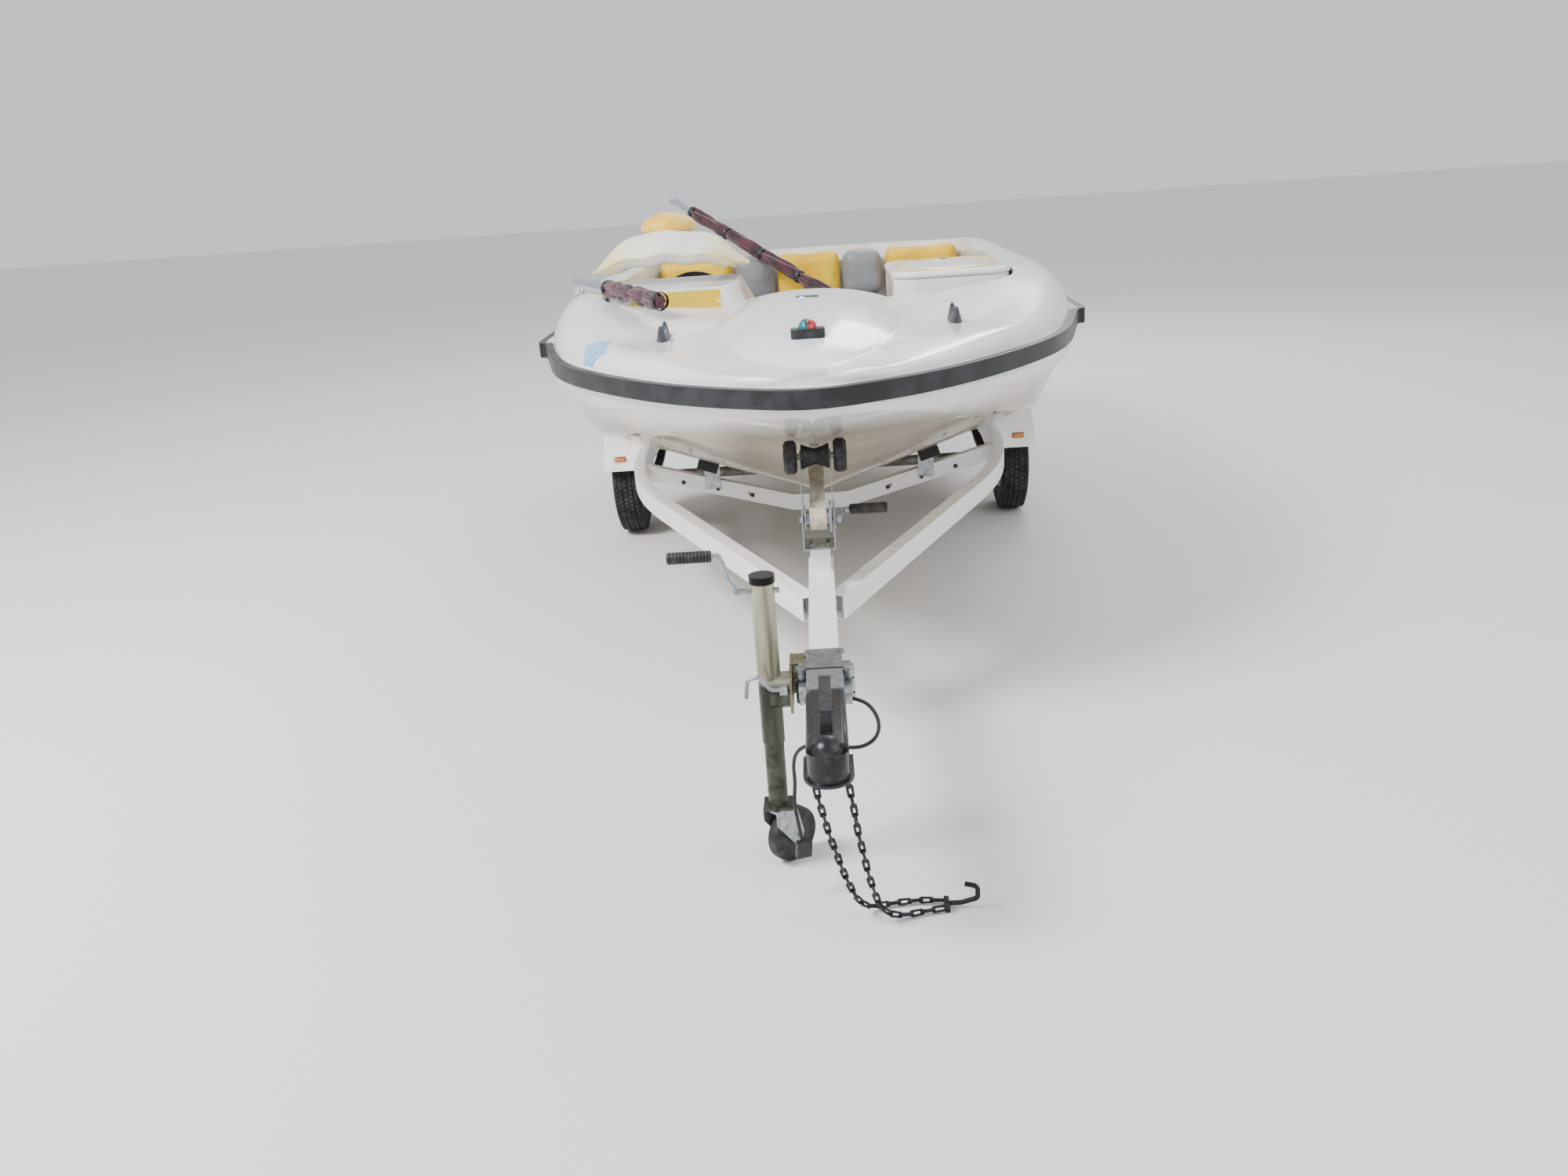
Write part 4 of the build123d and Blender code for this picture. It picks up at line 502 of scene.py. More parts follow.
def vinyl(name, dark, light):
    """Coated upholstery fabric with a pressed leather grain about a millimetre across."""
    material, shader = begin(name, Roughness=0.42, Sheen_Weight=0.12, Sheen_Roughness=0.4)
    point = object_point(material)
    sun = add(material, "ShaderNodeTexNoise", {"Vector": point}, scale=5.0, detail=7.0, roughness=0.6)
    tone = add(material, "ShaderNodeValToRGB", {"Fac": sun}, ((0.34, dark), (0.64, light)))
    cells = add(material, "ShaderNodeTexVoronoi", {"Vector": point}, scale=620.0)
    creases = add(material, "ShaderNodeTexNoise", {"Vector": point}, scale=38.0, detail=6.0)
    pressed = add(material, "ShaderNodeBump", {"Height": cells}, strength=0.28, distance=0.0006)
    soft = add(
        material, "ShaderNodeBump", {"Height": creases, "Normal": pressed}, strength=0.16, distance=0.003,
    )
    feed(shader, Base_Color=tone, Normal=soft)
    return material


yellow_vinyl = vinyl("yellow_marine_vinyl", "#E2AE08", "#F7CB1E")
grey_vinyl = vinyl("grey_marine_vinyl", "#6E7072", "#8B8D8E")
VOXEL = 0.009
SWELL = 0.009  # how far the cover is drawn in before it is blown up by its foam
CLOTH_FRAMES = 20
stuffed = []


def solids_of(node):
    """Lowest and highest corner of each separate solid of a CAD node, from low X to high X."""
    bm = bmesh.new()
    bm.from_mesh(frame["nodes"][node].data)
    bmesh.ops.remove_doubles(bm, verts=bm.verts, dist=1e-5)
    boxes, waiting = [], set(bm.verts)
    while waiting:
        edge_of_island, island = [waiting.pop()], []
        while edge_of_island:
            vertex = edge_of_island.pop()
            island.append(vertex.co.copy())
            for edge in vertex.link_edges:
                other = edge.other_vert(vertex)
                if other in waiting:
                    waiting.discard(other)
                    edge_of_island.append(other)
        low = Vector([min(p[i] for p in island) for i in range(3)])
        high = Vector([max(p[i] for p in island) for i in range(3)])
        boxes.append((low, high))
    bm.free()
    return sorted(boxes, key=lambda pair: pair[0].x)


def applied(piece):
    """The piece's mesh with its modifiers made real."""
    graph = bpy.context.evaluated_depsgraph_get()
    mesh = bpy.data.meshes.new_from_object(piece.evaluated_get(graph))
    piece.modifiers.clear()
    piece.data = mesh
    return mesh


def cover(name, low, high, material, node, edge):
    """A sewn cover round a block of foam, ready to be blown up."""
    bm = bmesh.new()
    bmesh.ops.create_cube(bm, size=1.0)
    extent = high - low - Vector((2 * SWELL,) * 3)
    bmesh.ops.scale(bm, vec=extent, verts=bm.verts)
    bmesh.ops.bevel(
        bm, geom=bm.verts[:] + bm.edges[:], offset=edge, offset_type="OFFSET", segments=4, profile=0.5,
        affect="EDGES", material=-1,
    )
    bmesh.ops.translate(bm, vec=(low + high) / 2, verts=bm.verts)
    piece = make(name, closed(bm), material, node, smooth=180)
    voxels = piece.modifiers.new("voxels", "REMESH")
    voxels.mode = "VOXEL"
    voxels.voxel_size = VOXEL
    applied(piece)
    cloth = piece.modifiers.new("stuffing", "CLOTH")
    cloth.settings.use_pressure = True
    cloth.settings.uniform_pressure_force = 4.0
    cloth.settings.effector_weights.gravity = 0.0
    cloth.settings.quality = 4
    cloth.point_cache.frame_end = CLOTH_FRAMES
    piece.data.materials.clear()
    piece.data.materials.append(material)
    stuffed.append((piece, low, high, material))
    return piece


for kind, labels, material, edge in (
    ("seat_cushion", ("starboard", "middle", "port"), grey_vinyl, 0.022),
    ("seat_back", ("starboard", "middle", "port"), yellow_vinyl, 0.034),
    ("seat_bolster", ("starboard", "port"), grey_vinyl, 0.05),
):
    for label, (low, high) in zip(labels, solids_of(kind + "s")):
        cover(f"{kind}_{label}", low, high, material, kind + "s", edge)
start = {piece.name: [v.co.copy() for v in piece.data.vertices] for piece, *_ in stuffed}
for number in range(1, CLOTH_FRAMES + 1):
    bpy.context.scene.frame_set(number)
for piece, low, high, material in stuffed:
    mesh = applied(piece)
    for vertex, origin in zip(mesh.vertices, start[piece.name]):
        shift = vertex.co - origin
        if shift.length > SWELL:
            shift *= SWELL / shift.length
        vertex.co = origin + shift
bpy.context.scene.frame_set(1)
for piece, low, high, material in stuffed:
    smoothing = piece.modifiers.new("smoothing", "SUBSURF")
    smoothing.levels = smoothing.render_levels = 1
    piece.data.polygons.foreach_set("use_smooth", [True] * len(piece.data.polygons))
for kind in ("seat_cushion", "seat_back", "seat_bolster"):
    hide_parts(kind + "s")


def welt(name, piece, place, facing, material, node, section=0.0028):
    """Piping along the line where a plane cuts a stuffed piece."""
    bm = bmesh.new()
    graph = bpy.context.evaluated_depsgraph_get()
    bm.from_mesh(bpy.data.meshes.new_from_object(piece.evaluated_get(graph)))
    cut = bmesh.ops.bisect_plane(
        bm, geom=bm.verts[:] + bm.edges[:] + bm.faces[:], plane_co=place, plane_no=facing,
    )["geom_cut"]
    keep = {item for item in cut if isinstance(item, bmesh.types.BMVert)}
    bmesh.ops.delete(bm, geom=[v for v in bm.verts if v not in keep], context="VERTS")
    bmesh.ops.delete(bm, geom=bm.faces[:], context="FACES_ONLY")
    line = bpy.data.meshes.new(name + "_line")
    bm.to_mesh(line)
    bm.free()
    thread = bpy.data.objects.new(name + "_line", line)
    bpy.context.scene.collection.objects.link(thread)
    bpy.ops.object.select_all(action="DESELECT")
    bpy.context.view_layer.objects.active = thread
    thread.select_set(True)
    bpy.ops.object.convert(target="CURVE")
    thread.data.bevel_depth = section
    thread.data.bevel_resolution = 2
    bpy.ops.object.convert(target="MESH")
    mesh = thread.data
    bm = bmesh.new()
    bm.from_mesh(mesh)
    bpy.data.objects.remove(thread)
    return make(name, closed(bm, 1e-6), material, node, smooth=80)


CUSHION_SEAM, BACK_SEAM, BOLSTER_SEAM = 0.026, 0.040, 0.070  # how far the seams lie from the face
for piece, low, high, material in list(stuffed):
    if piece.name.startswith("seat_cushion"):
        welt(piece.name + "_welt", piece, (0, 0, high.z - CUSHION_SEAM), (0, 0, 1), material, "seat_cushions")
    elif piece.name.startswith("seat_back"):
        welt(piece.name + "_welt", piece, (0, low.y + BACK_SEAM, 0), (0, 1, 0), material, "seat_backs")
    else:
        welt(piece.name + "_welt", piece, (0, low.y + BOLSTER_SEAM, 0), (0, 1, 0), material, "seat_bolsters")

# ---------------------------------------------------------------- helm cowl and pad
# The hood over the instruments is one piece of skinned foam, swept out into two drooping wings.
# Its cream skin has worn through to yellow along the edges, and a yellow egg of foam caps it.
cowl_foam, shader = begin("cream_skinned_foam", Roughness=0.55, Sheen_Weight=0.15)
point = object_point(cowl_foam)
wear = add(cowl_foam, "ShaderNodeAttribute", attribute_name="edge_wear").outputs["Fac"]
patches = add(cowl_foam, "ShaderNodeTexNoise", {"Vector": point}, scale=14.0, detail=8.0, roughness=0.65)
worn = add(cowl_foam, "ShaderNodeMath", {0: wear, 1: patches.outputs["Fac"]}, operation="MULTIPLY")
tone = add(
    cowl_foam, "ShaderNodeValToRGB", {"Fac": worn},
    ((0.12, "#EDE9DC"), (0.60, "#EBC83F"), (0.30, "#F1E3A8")),
)
pores = add(cowl_foam, "ShaderNodeTexNoise", {"Vector": point}, scale=520.0, detail=2.0)
grain = add(cowl_foam, "ShaderNodeBump", {"Height": pores}, strength=0.2, distance=0.0006)
feed(shader, Base_Color=tone, Normal=grain)
pad_foam = mottled(
    "yellow_skinned_foam", 24.0, 7.0, (0.36, "#EBB526"), (0.66, "#FBD253"), ((480.0, 3.0), 0.35, 0.0008),
    Roughness=0.6, Sheen_Weight=0.2,
)

cowl_low, cowl_high = (Vector(corner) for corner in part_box("helm_cowl"))
cowl_middle = (cowl_low + cowl_high) / 2
cowl_reach = (cowl_high - cowl_low) / 2
COWL_BLUNT = 0.68  # below one, the wing tips are rounder than an egg's ends
bm = bmesh.new()
bmesh.ops.create_uvsphere(bm, u_segments=96, v_segments=64, radius=1.0)
wear_layer = bm.verts.layers.float.new("edge_wear")
for vertex in bm.verts:
    x, y, z = vertex.co
    x = copysign(abs(x) ** COWL_BLUNT, x)
    wing = abs(x) ** 2.2
    crown = 0.78 * z + 0.22 if z > 0 else 0.45 * z + 0.22
    swell = 1.0 - 0.34 * wing
    bow = 0.92 - 0.20 * (1 - wing) * max(0.0, -y) * abs(z)
    height = crown * swell - 0.52 * wing + (0.07 * cos(3 * pi * x) if z > 0 else 0.05 * cos(4 * pi * x))
    vertex[wear_layer] = max(0.0, min(1.0, 1.35 * wing + 0.9 * max(0.0, 0.25 - abs(z)) * 2))
    vertex.co = Vector((
        cowl_middle.x + cowl_reach.x * 0.99 * x * (0.86 + 0.14 * (1 - abs(z))),
        cowl_middle.y + cowl_reach.y * bow * y,
        cowl_low.z + (cowl_high.z - cowl_low.z) * (0.44 + 0.56 * height),
    ))
cowl = make("helm_cowl_foam", closed(bm), cowl_foam, "helm_cowl", smooth=180, stands=True)
pad_low, pad_high = (Vector(corner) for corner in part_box("helm_pad"))
pad_middle = (pad_low + pad_high) / 2
bm = bmesh.new()
bmesh.ops.create_uvsphere(bm, u_segments=64, v_segments=40, radius=1.0)
for vertex in bm.verts:
    x, y, z = vertex.co
    vertex.co = Vector((
        pad_middle.x + (pad_high.x - pad_low.x) / 2 * x * (1.02 + 0.10 * y),
        pad_middle.y + (pad_high.y - pad_low.y) / 2 * y,
        pad_low.z + (pad_high.z - pad_low.z) * (z if z > 0 else 0.35 * z),
    ))
pad = make("helm_pad_foam", closed(bm), pad_foam, "helm_pad", smooth=180, stands=True)

# ---------------------------------------------------------------- decals
# Cut vinyl films: the yellow panel with pale bubbles on the face of the helm, the blue season
# sticker on the starboard bow, and a blank oval badge. None of them carries any lettering.


def film(name, node, low, high, material, lift=0.0008, facing=None):
    """A patch of a CAD node's surface between two corners, laid a little proud of it."""
    bm = bmesh.new()
    bm.from_mesh(frame["nodes"][node].data)
    bmesh.ops.remove_doubles(bm, verts=bm.verts, dist=2e-5)
    for axis in range(3):
        for corner, sign in ((low, -1), (high, 1)):
            normal = Vector((0, 0, 0))
            normal[axis] = sign
            bmesh.ops.bisect_plane(
                bm, geom=bm.verts[:] + bm.edges[:] + bm.faces[:], plane_co=corner, plane_no=normal, clear_outer=True,
            )
    if facing is not None:
        away = [face for face in bm.faces if face.normal.dot(Vector(facing)) < 0.25]
        bmesh.ops.delete(bm, geom=away, context="FACES")
    for vertex in bm.verts:
        vertex.normal_update()
    for vertex in bm.verts:
        vertex.co += vertex.normal * lift
    return make(name, bm, material, node, smooth=40)


bubble_film, shader = begin("printed_yellow_vinyl_film", Roughness=0.3)
point = object_point(bubble_film, scale=(1.0, 1.0, 1.5))
cells = add(bubble_film, "ShaderNodeTexVoronoi", {"Vector": point}, scale=26.0, randomness=0.55)
fades = add(bubble_film, "ShaderNodeSeparateXYZ", {"Vector": object_point(bubble_film)})
spread = add(
    bubble_film, "ShaderNodeMapRange", {"Value": fades.outputs["Z"]}, from_min=1.13, from_max=1.235,
    to_min=0.62, to_max=0.10,
)
bubble = add(bubble_film, "ShaderNodeMath", {0: cells.outputs["Distance"], 1: spread.outputs[0]}, operation="LESS_THAN")
tone = add(bubble_film, "ShaderNodeMixRGB", {"Fac": bubble}, color1=rgb("#EFCB35"), color2=rgb("#F5EFC6"))
feed(shader, Base_Color=tone)
console_low, console_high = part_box("helm_console")
film(
    "helm_face_film", "helm_console", (console_low[0] + 0.10, console_low[1] - 0.01, 1.135),
    (console_high[0] - 0.12, console_low[1] + 0.30, 1.252), bubble_film, facing=(0, -0.8, 0.6),
)
season_film, shader = begin("printed_blue_vinyl_film", Roughness=0.35)
bars = add(season_film, "ShaderNodeTexWave", {"Vector": object_point(season_film)}, scale=9.0, bands_direction="Y")
tone = add(season_film, "ShaderNodeValToRGB", {"Fac": bars}, ((0.35, "#7DB4DC"), (0.65, "#9CC8E8")))
feed(shader, Base_Color=tone)
film("season_film", "deck", (-0.740, -1.02, 1.11), (-0.655, -0.86, 1.19), season_film, facing=(-0.6, -0.5, 0.5))
badge_chrome = mottled(
    "chromed_badge_film", 160.0, 2.0, (0.4, "#8F9296"), (0.6, "#C9CCCF"), Roughness=0.22, Metallic=0.8,
)


def surface_point(node, x, y):
    """Where a vertical line meets the top of a CAD node, and the surface's direction there."""
    bm = bmesh.new()
    bm.from_mesh(frame["nodes"][node].data)
    spot, normal, _, _ = BVHTree.FromBMesh(bm).ray_cast(Vector((x, y, 3.0)), Vector((0, 0, -1)))
    bm.free()
    return spot, normal


def badge(name, node, x, y, half_x, half_y, material, thick):
    """A thin oval plate bedded on a surface."""
    spot, normal = surface_point(node, x, y)
    bm = bmesh.new()
    bmesh.ops.create_cone(bm, cap_ends=True, segments=48, radius1=1.0, radius2=0.97, depth=1.0)
    bmesh.ops.scale(bm, vec=(half_x, half_y, thick), verts=bm.verts)
    tilt = normal.to_track_quat("Z", "Y").to_matrix().to_4x4()
    bmesh.ops.transform(bm, matrix=Matrix.Translation(spot + normal * thick * 0.5) @ tilt, verts=bm.verts)
    return make(name, closed(bm, 1e-7), material, node, smooth=40)


HOOD_BADGE_Y = -0.60
for label, half_x, half_y, material, thick in (
    ("rim", 0.045, 0.026, badge_chrome, 0.0015),
    ("face", 0.040, 0.022, black_nylon, 0.0030),
    ("bar", 0.030, 0.008, badge_chrome, 0.0042),
):
    badge("hood_badge_" + label, "deck", 0.0, HOOD_BADGE_Y, half_x, half_y, material, thick)

# ---------------------------------------------------------------- bow lamp and cleats
# One casing carries both side lights: a green glass to starboard and a red one to port, on a
# black base with a lifting tab. The two mooring cleats are moulded fins with a horn each way.
lens_glass, shader = begin("dyed_acrylic_lens", Roughness=0.08, IOR=1.49, Coat_Weight=0.6)
side = add(lens_glass, "ShaderNodeSeparateXYZ", {"Vector": object_point(lens_glass)}).outputs["X"]
is_port = add(lens_glass, "ShaderNodeMath", {0: side}, operation="GREATER_THAN")
is_port.inputs[1].default_value = 0.0
ribs = add(lens_glass, "ShaderNodeTexWave", {"Vector": object_point(lens_glass)}, scale=90.0, bands_direction="Z")
tone = add(lens_glass, "ShaderNodeMixRGB", {"Fac": is_port}, color1=rgb("#0C6B72"), color2=rgb("#C51E2C"))
ridge = add(lens_glass, "ShaderNodeBump", {"Height": ribs}, strength=0.3, distance=0.0008)
feed(shader, Base_Color=tone, Normal=ridge)
skin("nav_light_lenses", lens_glass, bevel=0.003, smooth=40, segments=3)
skin("nav_light_base", black_nylon, bevel=0.006, smooth=40, segments=3)
light_low, light_high = (Vector(corner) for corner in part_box("nav_light_base"))
bm = bmesh.new()
bmesh.ops.create_cube(bm, size=1.0)
bmesh.ops.scale(bm, vec=(0.020, 0.008, 0.030), verts=bm.verts)
bmesh.ops.bevel(
    bm, geom=bm.edges[:], offset=0.0025, segments=3, profile=0.5, affect="EDGES", material=-1,
)
tab_place = ((light_low.x + light_high.x) / 2, light_low.y + 0.010, light_high.z + 0.004)
bmesh.ops.translate(bm, vec=tab_place, verts=bm.verts)
make("nav_light_tab", closed(bm), black_nylon, "nav_light_base")
cleat_nylon = mottled(
    "grey_glass_filled_nylon", 70.0, 6.0, (0.35, "#2C2E33"), (0.7, "#4A4D53"), Roughness=0.42,
)
for label, (low, high) in zip(("starboard", "port"), solids_of("bow_cleats")):
    middle, reach = (low + high) / 2, (high - low) / 2
    spot, normal = surface_point("deck", middle.x, middle.y)
    bm = bmesh.new()
    bmesh.ops.create_uvsphere(bm, u_segments=64, v_segments=40, radius=1.0)
    for vertex in bm.verts:
        across, lengthwise, up = vertex.co
        up = max(0.0, up) ** 0.4
        horn = 0.42 + 0.58 * min(1.0, (1.25 * abs(lengthwise)) ** 2)
        vertex.co = Vector((
            middle.x + reach.x * across * (1.0 - 0.55 * up),
            middle.y + reach.y * lengthwise * (0.80 + 0.20 * up),
            spot.z - 0.006 + (high.z - spot.z + 0.006) * up * horn,
        ))
    piece = make("bow_cleat_" + label, closed(bm), cleat_nylon, "bow_cleats", smooth=60)
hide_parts("bow_cleats")

# ---------------------------------------------------------------- furled sun top
# The folding top lies lowered across the seats: dark maroon acrylic canvas rolled round its
# polished bows and tied with black straps.
canvas, shader = begin("maroon_acrylic_canvas", Roughness=0.85, Sheen_Weight=0.35, Sheen_Roughness=0.5)
point = object_point(canvas)
WEAVE_SCALE = 32.5  # ribs of thread, drawn coarser than real
warp = add(canvas, "ShaderNodeTexWave", {"Vector": point}, scale=WEAVE_SCALE, bands_direction="X")
weft = add(canvas, "ShaderNodeTexWave", {"Vector": point}, scale=WEAVE_SCALE, bands_direction="Z")
threads = add(canvas, "ShaderNodeMath", {0: warp, 1: weft}, operation="MULTIPLY")
fade = add(canvas, "ShaderNodeTexNoise", {"Vector": point}, scale=16.0, detail=7.0)
tone = add(canvas, "ShaderNodeValToRGB", {"Fac": fade}, ((0.36, "#241318"), (0.66, "#55212F")))
woven = add(canvas, "ShaderNodeBump", {"Height": threads}, strength=0.3, distance=0.0008)
feed(shader, Base_Color=tone, Normal=woven)
bow_tube = mottled(
    "polished_aluminium_tube", 120.0, 4.0, (0.3, "#B4B8BD"), (0.7, "#DADDE0"), Metallic=1.0, Roughness=0.22,
)
skin("top_frame", bow_tube, smooth=40)
TOP_ROLLS = {
    "high": ((-0.6975, 1.825, 1.5435), (0.1642, 1.0635, 1.0347), 0.150, 1.225, 0.036),
    "fore": ((-0.915, 0.050, 1.300), (-0.510, -0.600, 1.262), 0.300, 0.768, 0.037),
}
for label, (start_at, end_at, cloth_from, cloth_to, radius) in TOP_ROLLS.items():
    head, foot = Vector(start_at), Vector(end_at)
    axis = (foot - head).normalized()
    facing = axis.to_track_quat("Z", "Y").to_matrix().to_4x4()
    reach = cloth_to - cloth_from
    bm = bmesh.new()
    bmesh.ops.create_circle(bm, segments=72, radius=radius, cap_ends=False)
    ring = bm.edges[:]
    steps = int(reach / 0.008)
    for _ in range(steps):
        grown = bmesh.ops.extrude_edge_only(bm, edges=ring)["geom"]
        moved = [item for item in grown if isinstance(item, bmesh.types.BMVert)]
        bmesh.ops.translate(bm, vec=(0, 0, reach / steps), verts=moved)
        ring = [item for item in grown if isinstance(item, bmesh.types.BMEdge)
                and all(v in moved for v in item.verts)]
    bmesh.ops.holes_fill(bm, edges=[edge for edge in bm.edges if edge.is_boundary], sides=0)
    for vertex in bm.verts:
        flat = Vector((vertex.co.x, vertex.co.y, 0))
        if flat.length > 0.001:
            turn = flat.to_track_quat("X", "Z").to_euler().z
            along_roll = vertex.co.z / reach
            tie = max(abs(cos(pi * along_roll * 4)) ** 12, 0.0)
            fold = noise.noise(Vector((cos(turn) * 2.2, sin(turn) * 2.2, along_roll * reach * 9)) + Vector(head))
            pleat = 0.10 * sin(5 * turn + 14 * along_roll) + 0.28 * fold - 0.16 * tie
            vertex.co -= flat * max(0.0, min(0.62, 0.22 - pleat))
    bmesh.ops.transform(bm, verts=bm.verts, matrix=Matrix.Translation(head + axis * cloth_from) @ facing)
    roll = make("furled_canvas_" + label, closed(bm), canvas, "top_canvas", smooth=180)
    for number, share in enumerate((0.0, 0.25, 0.5, 0.75, 1.0) if label == "high" else (0.0, 1.0)):
        bm = bmesh.new()
        ring_mesh(bm, 0.0022, radius * 0.84, 40)
        bmesh.ops.scale(bm, vec=(1, 1, 4.5), verts=bm.verts)
        spot = head + axis * (cloth_from + 0.012 + share * (reach - 0.024))
        bmesh.ops.transform(bm, verts=bm.verts, matrix=Matrix.Translation(spot) @ facing)
        make(f"canvas_tie_{label}_{number}", closed(bm, 1e-7), black_nylon, "top_canvas", smooth=80)
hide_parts("top_canvas")

# ---------------------------------------------------------------- painted trailer frame
# Welded square tube and a pressed channel, powder coated white. Stone chips, road dust and a
# little rust run from the bolts.


def coated_steel(name, base, stain, roughness, metallic=0.0, scale=20.0, spread=0.62):
    """Coated steel with chips and stains whose size is set by the scale."""
    material, shader = begin(name, Roughness=roughness, Metallic=metallic)
    point = object_point(material)
    dirt = add(material, "ShaderNodeTexNoise", {"Vector": point}, scale=scale, detail=10.0, roughness=0.72)
    tone = add(material, "ShaderNodeValToRGB", {"Fac": dirt}, ((spread - 0.14, base), (spread + 0.12, stain)))
    dull = add(
        material, "ShaderNodeMapRange", {"Value": dirt}, from_min=0.3, from_max=0.75,
        to_min=roughness * 0.75, to_max=min(1.0, roughness * 1.7),
    )
    fine = add(material, "ShaderNodeTexNoise", {"Vector": point}, scale=260.0, detail=3.0)
    bump = add(material, "ShaderNodeBump", {"Height": fine}, strength=0.12, distance=0.0006)
    feed(shader, Base_Color=tone, Roughness=dull, Normal=bump)
    return material


frame_paint = coated_steel("white_powder_coat", "#F3F3F1", "#C9BFAE", 0.28, 0.0, 14.0, 0.72)
zinc_plate = coated_steel("bright_zinc_plate", "#B9BDC1", "#85898C", 0.34, 0.9, 45.0, 0.52)
yellow_zinc = coated_steel("yellow_zinc_plate", "#A39F86", "#77735E", 0.38, 0.85, 30.0, 0.50)
dark_zinc = coated_steel("olive_zinc_plate", "#53564F", "#37392F", 0.36, 0.75, 30.0, 0.50)
black_paint = coated_steel("black_enamel_on_steel", "#15161A", "#4B4A48", 0.26, 0.1, 34.0, 0.66)
spring_steel = coated_steel("black_spring_steel", "#1E1E1F", "#5A3D2A", 0.55, 0.3, 40.0, 0.58)
axle_zinc = coated_steel("dulled_galvanised_axle", "#9A9C9C", "#6E6252", 0.55, 0.7, 25.0, 0.56)
rust_brown = coated_steel("rusted_bolt", "#6B4A34", "#3D2B20", 0.7, 0.3, 120.0, 0.5)
cast_jet = coated_steel("painted_jet_casting", "#53565A", "#2F3133", 0.5, 0.3, 30.0, 0.55)
engine_cast = coated_steel("cast_aluminium_engine", "#8D9093", "#5C5E60", 0.55, 0.8, 22.0, 0.55)
stainless = coated_steel("turned_stainless", "#C3C6C8", "#9A9DA0", 0.22, 1.0, 60.0, 0.55)
for node, bevel in (("frame_rails", 0.004), ("crossmembers", 0.002), ("tongue", 0.005), ("tongue_front", 0.004)):
    skin(node, frame_paint, bevel=bevel, smooth=30, segments=3)
skin("fenders", frame_paint, bevel=0.0015, smooth=30)
for node, material, bevel in (
    ("winch_frame", zinc_plate, 0.001), ("winch_drum", zinc_plate, 0.001), ("frame_brackets", zinc_plate, 0.001),
    ("tongue_hinge_rear", zinc_plate, 0.0015), ("tongue_hinge_front", zinc_plate, 0.0015),
    ("jack_bracket", yellow_zinc, 0.002), ("jack_fork", zinc_plate, 0.0015), ("jack_crank_and_pin", zinc_plate, 0.0),
    ("coupler", black_paint, 0.003), ("coupler_latch", black_paint, 0.002), ("bow_eye", stainless, 0.0),
    ("jack_leg", dark_zinc, 0.001), ("reverse_bucket", cast_jet, 0.001), ("steering_nozzle", cast_jet, 0.001),
    ("jet_pump", cast_jet, 0.001), ("leaf_springs", spring_steel, 0.001),
):
    skin(node, material, bevel=bevel, smooth=35)
for node, material in (
    ("axle", axle_zinc), ("engine_block", engine_cast), ("impeller", stainless), ("lead_plug", jacket),
):
    paint(node, material)
jack_paint, shader = begin("two_tone_zinc_jack_tube", Metallic=0.8, Roughness=0.34)
point = object_point(jack_paint)
height = add(jack_paint, "ShaderNodeSeparateXYZ", {"Vector": point}).outputs["Z"]
drawn_out = object_point(jack_paint, scale=(30.0, 30.0, 3.0))
streak = add(jack_paint, "ShaderNodeTexNoise", {"Vector": drawn_out}, scale=1.5, detail=8.0)
plated = add(jack_paint, "ShaderNodeValToRGB", {"Fac": streak}, ((0.35, "#8E8B77"), (0.62, "#B4B09A")))
shade = add(jack_paint, "ShaderNodeValToRGB", {"Fac": streak}, ((0.35, "#34362F"), (0.62, "#55574D")))
lower_half = add(jack_paint, "ShaderNodeMapRange", {"Value": height}, from_min=0.50, from_max=0.515)
cap = add(jack_paint, "ShaderNodeMapRange", {"Value": height}, from_min=0.758, from_max=0.762)
tube_tone = add(jack_paint, "ShaderNodeMixRGB", {"Fac": lower_half, "Color1": shade, "Color2": plated})
tone = add(jack_paint, "ShaderNodeMixRGB", {"Fac": cap, "Color1": tube_tone}, color2=rgb("#1B1A18"))
feed(shader, Base_Color=tone)
skin("jack_tube", jack_paint, bevel=0.002, smooth=35)

# ---------------------------------------------------------------- grips and rollers
# The crank and winch handles turn in ribbed black rubber grips, and the bow rests in a black
# rubber roller with a softer side roller at each end.
soft_rubber = mottled(
    "black_moulded_rubber", 48.0, 8.0, (0.42, "#131313"), (0.72, "#3C3B39"), (None, 0.25, 0.001), Roughness=0.62,
)


def turned(name, stations, radii, centre, material, node, stands, flutes=0, depth=0.0):
    """A turned piece along X: rings of the given radii at the given stations, with flutes cut in."""
    bm = bmesh.new()
    previous = None
    for x, radius in zip(stations, radii):
        made = bmesh.ops.create_circle(
            bm, segments=72, radius=radius,
            matrix=Matrix.Translation((x, centre[1], centre[2])) @ Matrix.Rotation(pi / 2, 4, "Y"),
        )["verts"]
        edges = list({edge for v in made for edge in v.link_edges})
        if previous:
            bmesh.ops.bridge_loops(bm, edges=previous + edges)
        previous = edges
    for edges_x in (stations[0], stations[-1]):
        rim = [e for e in bm.edges if e.is_boundary and abs(e.verts[0].co.x - edges_x) < 1e-6]
        bmesh.ops.holes_fill(bm, edges=rim, sides=0)
    if flutes:
        for vertex in bm.verts:
            flat = Vector((0, vertex.co.y - centre[1], vertex.co.z - centre[2]))
            turn = Vector((flat.y, flat.z)).angle_signed(Vector((1, 0))) if flat.length > 1e-5 else 0.0
            vertex.co -= flat * depth * max(0.0, cos(flutes * turn))
    return make(name, closed(bm), material, node, smooth=40, stands=stands)


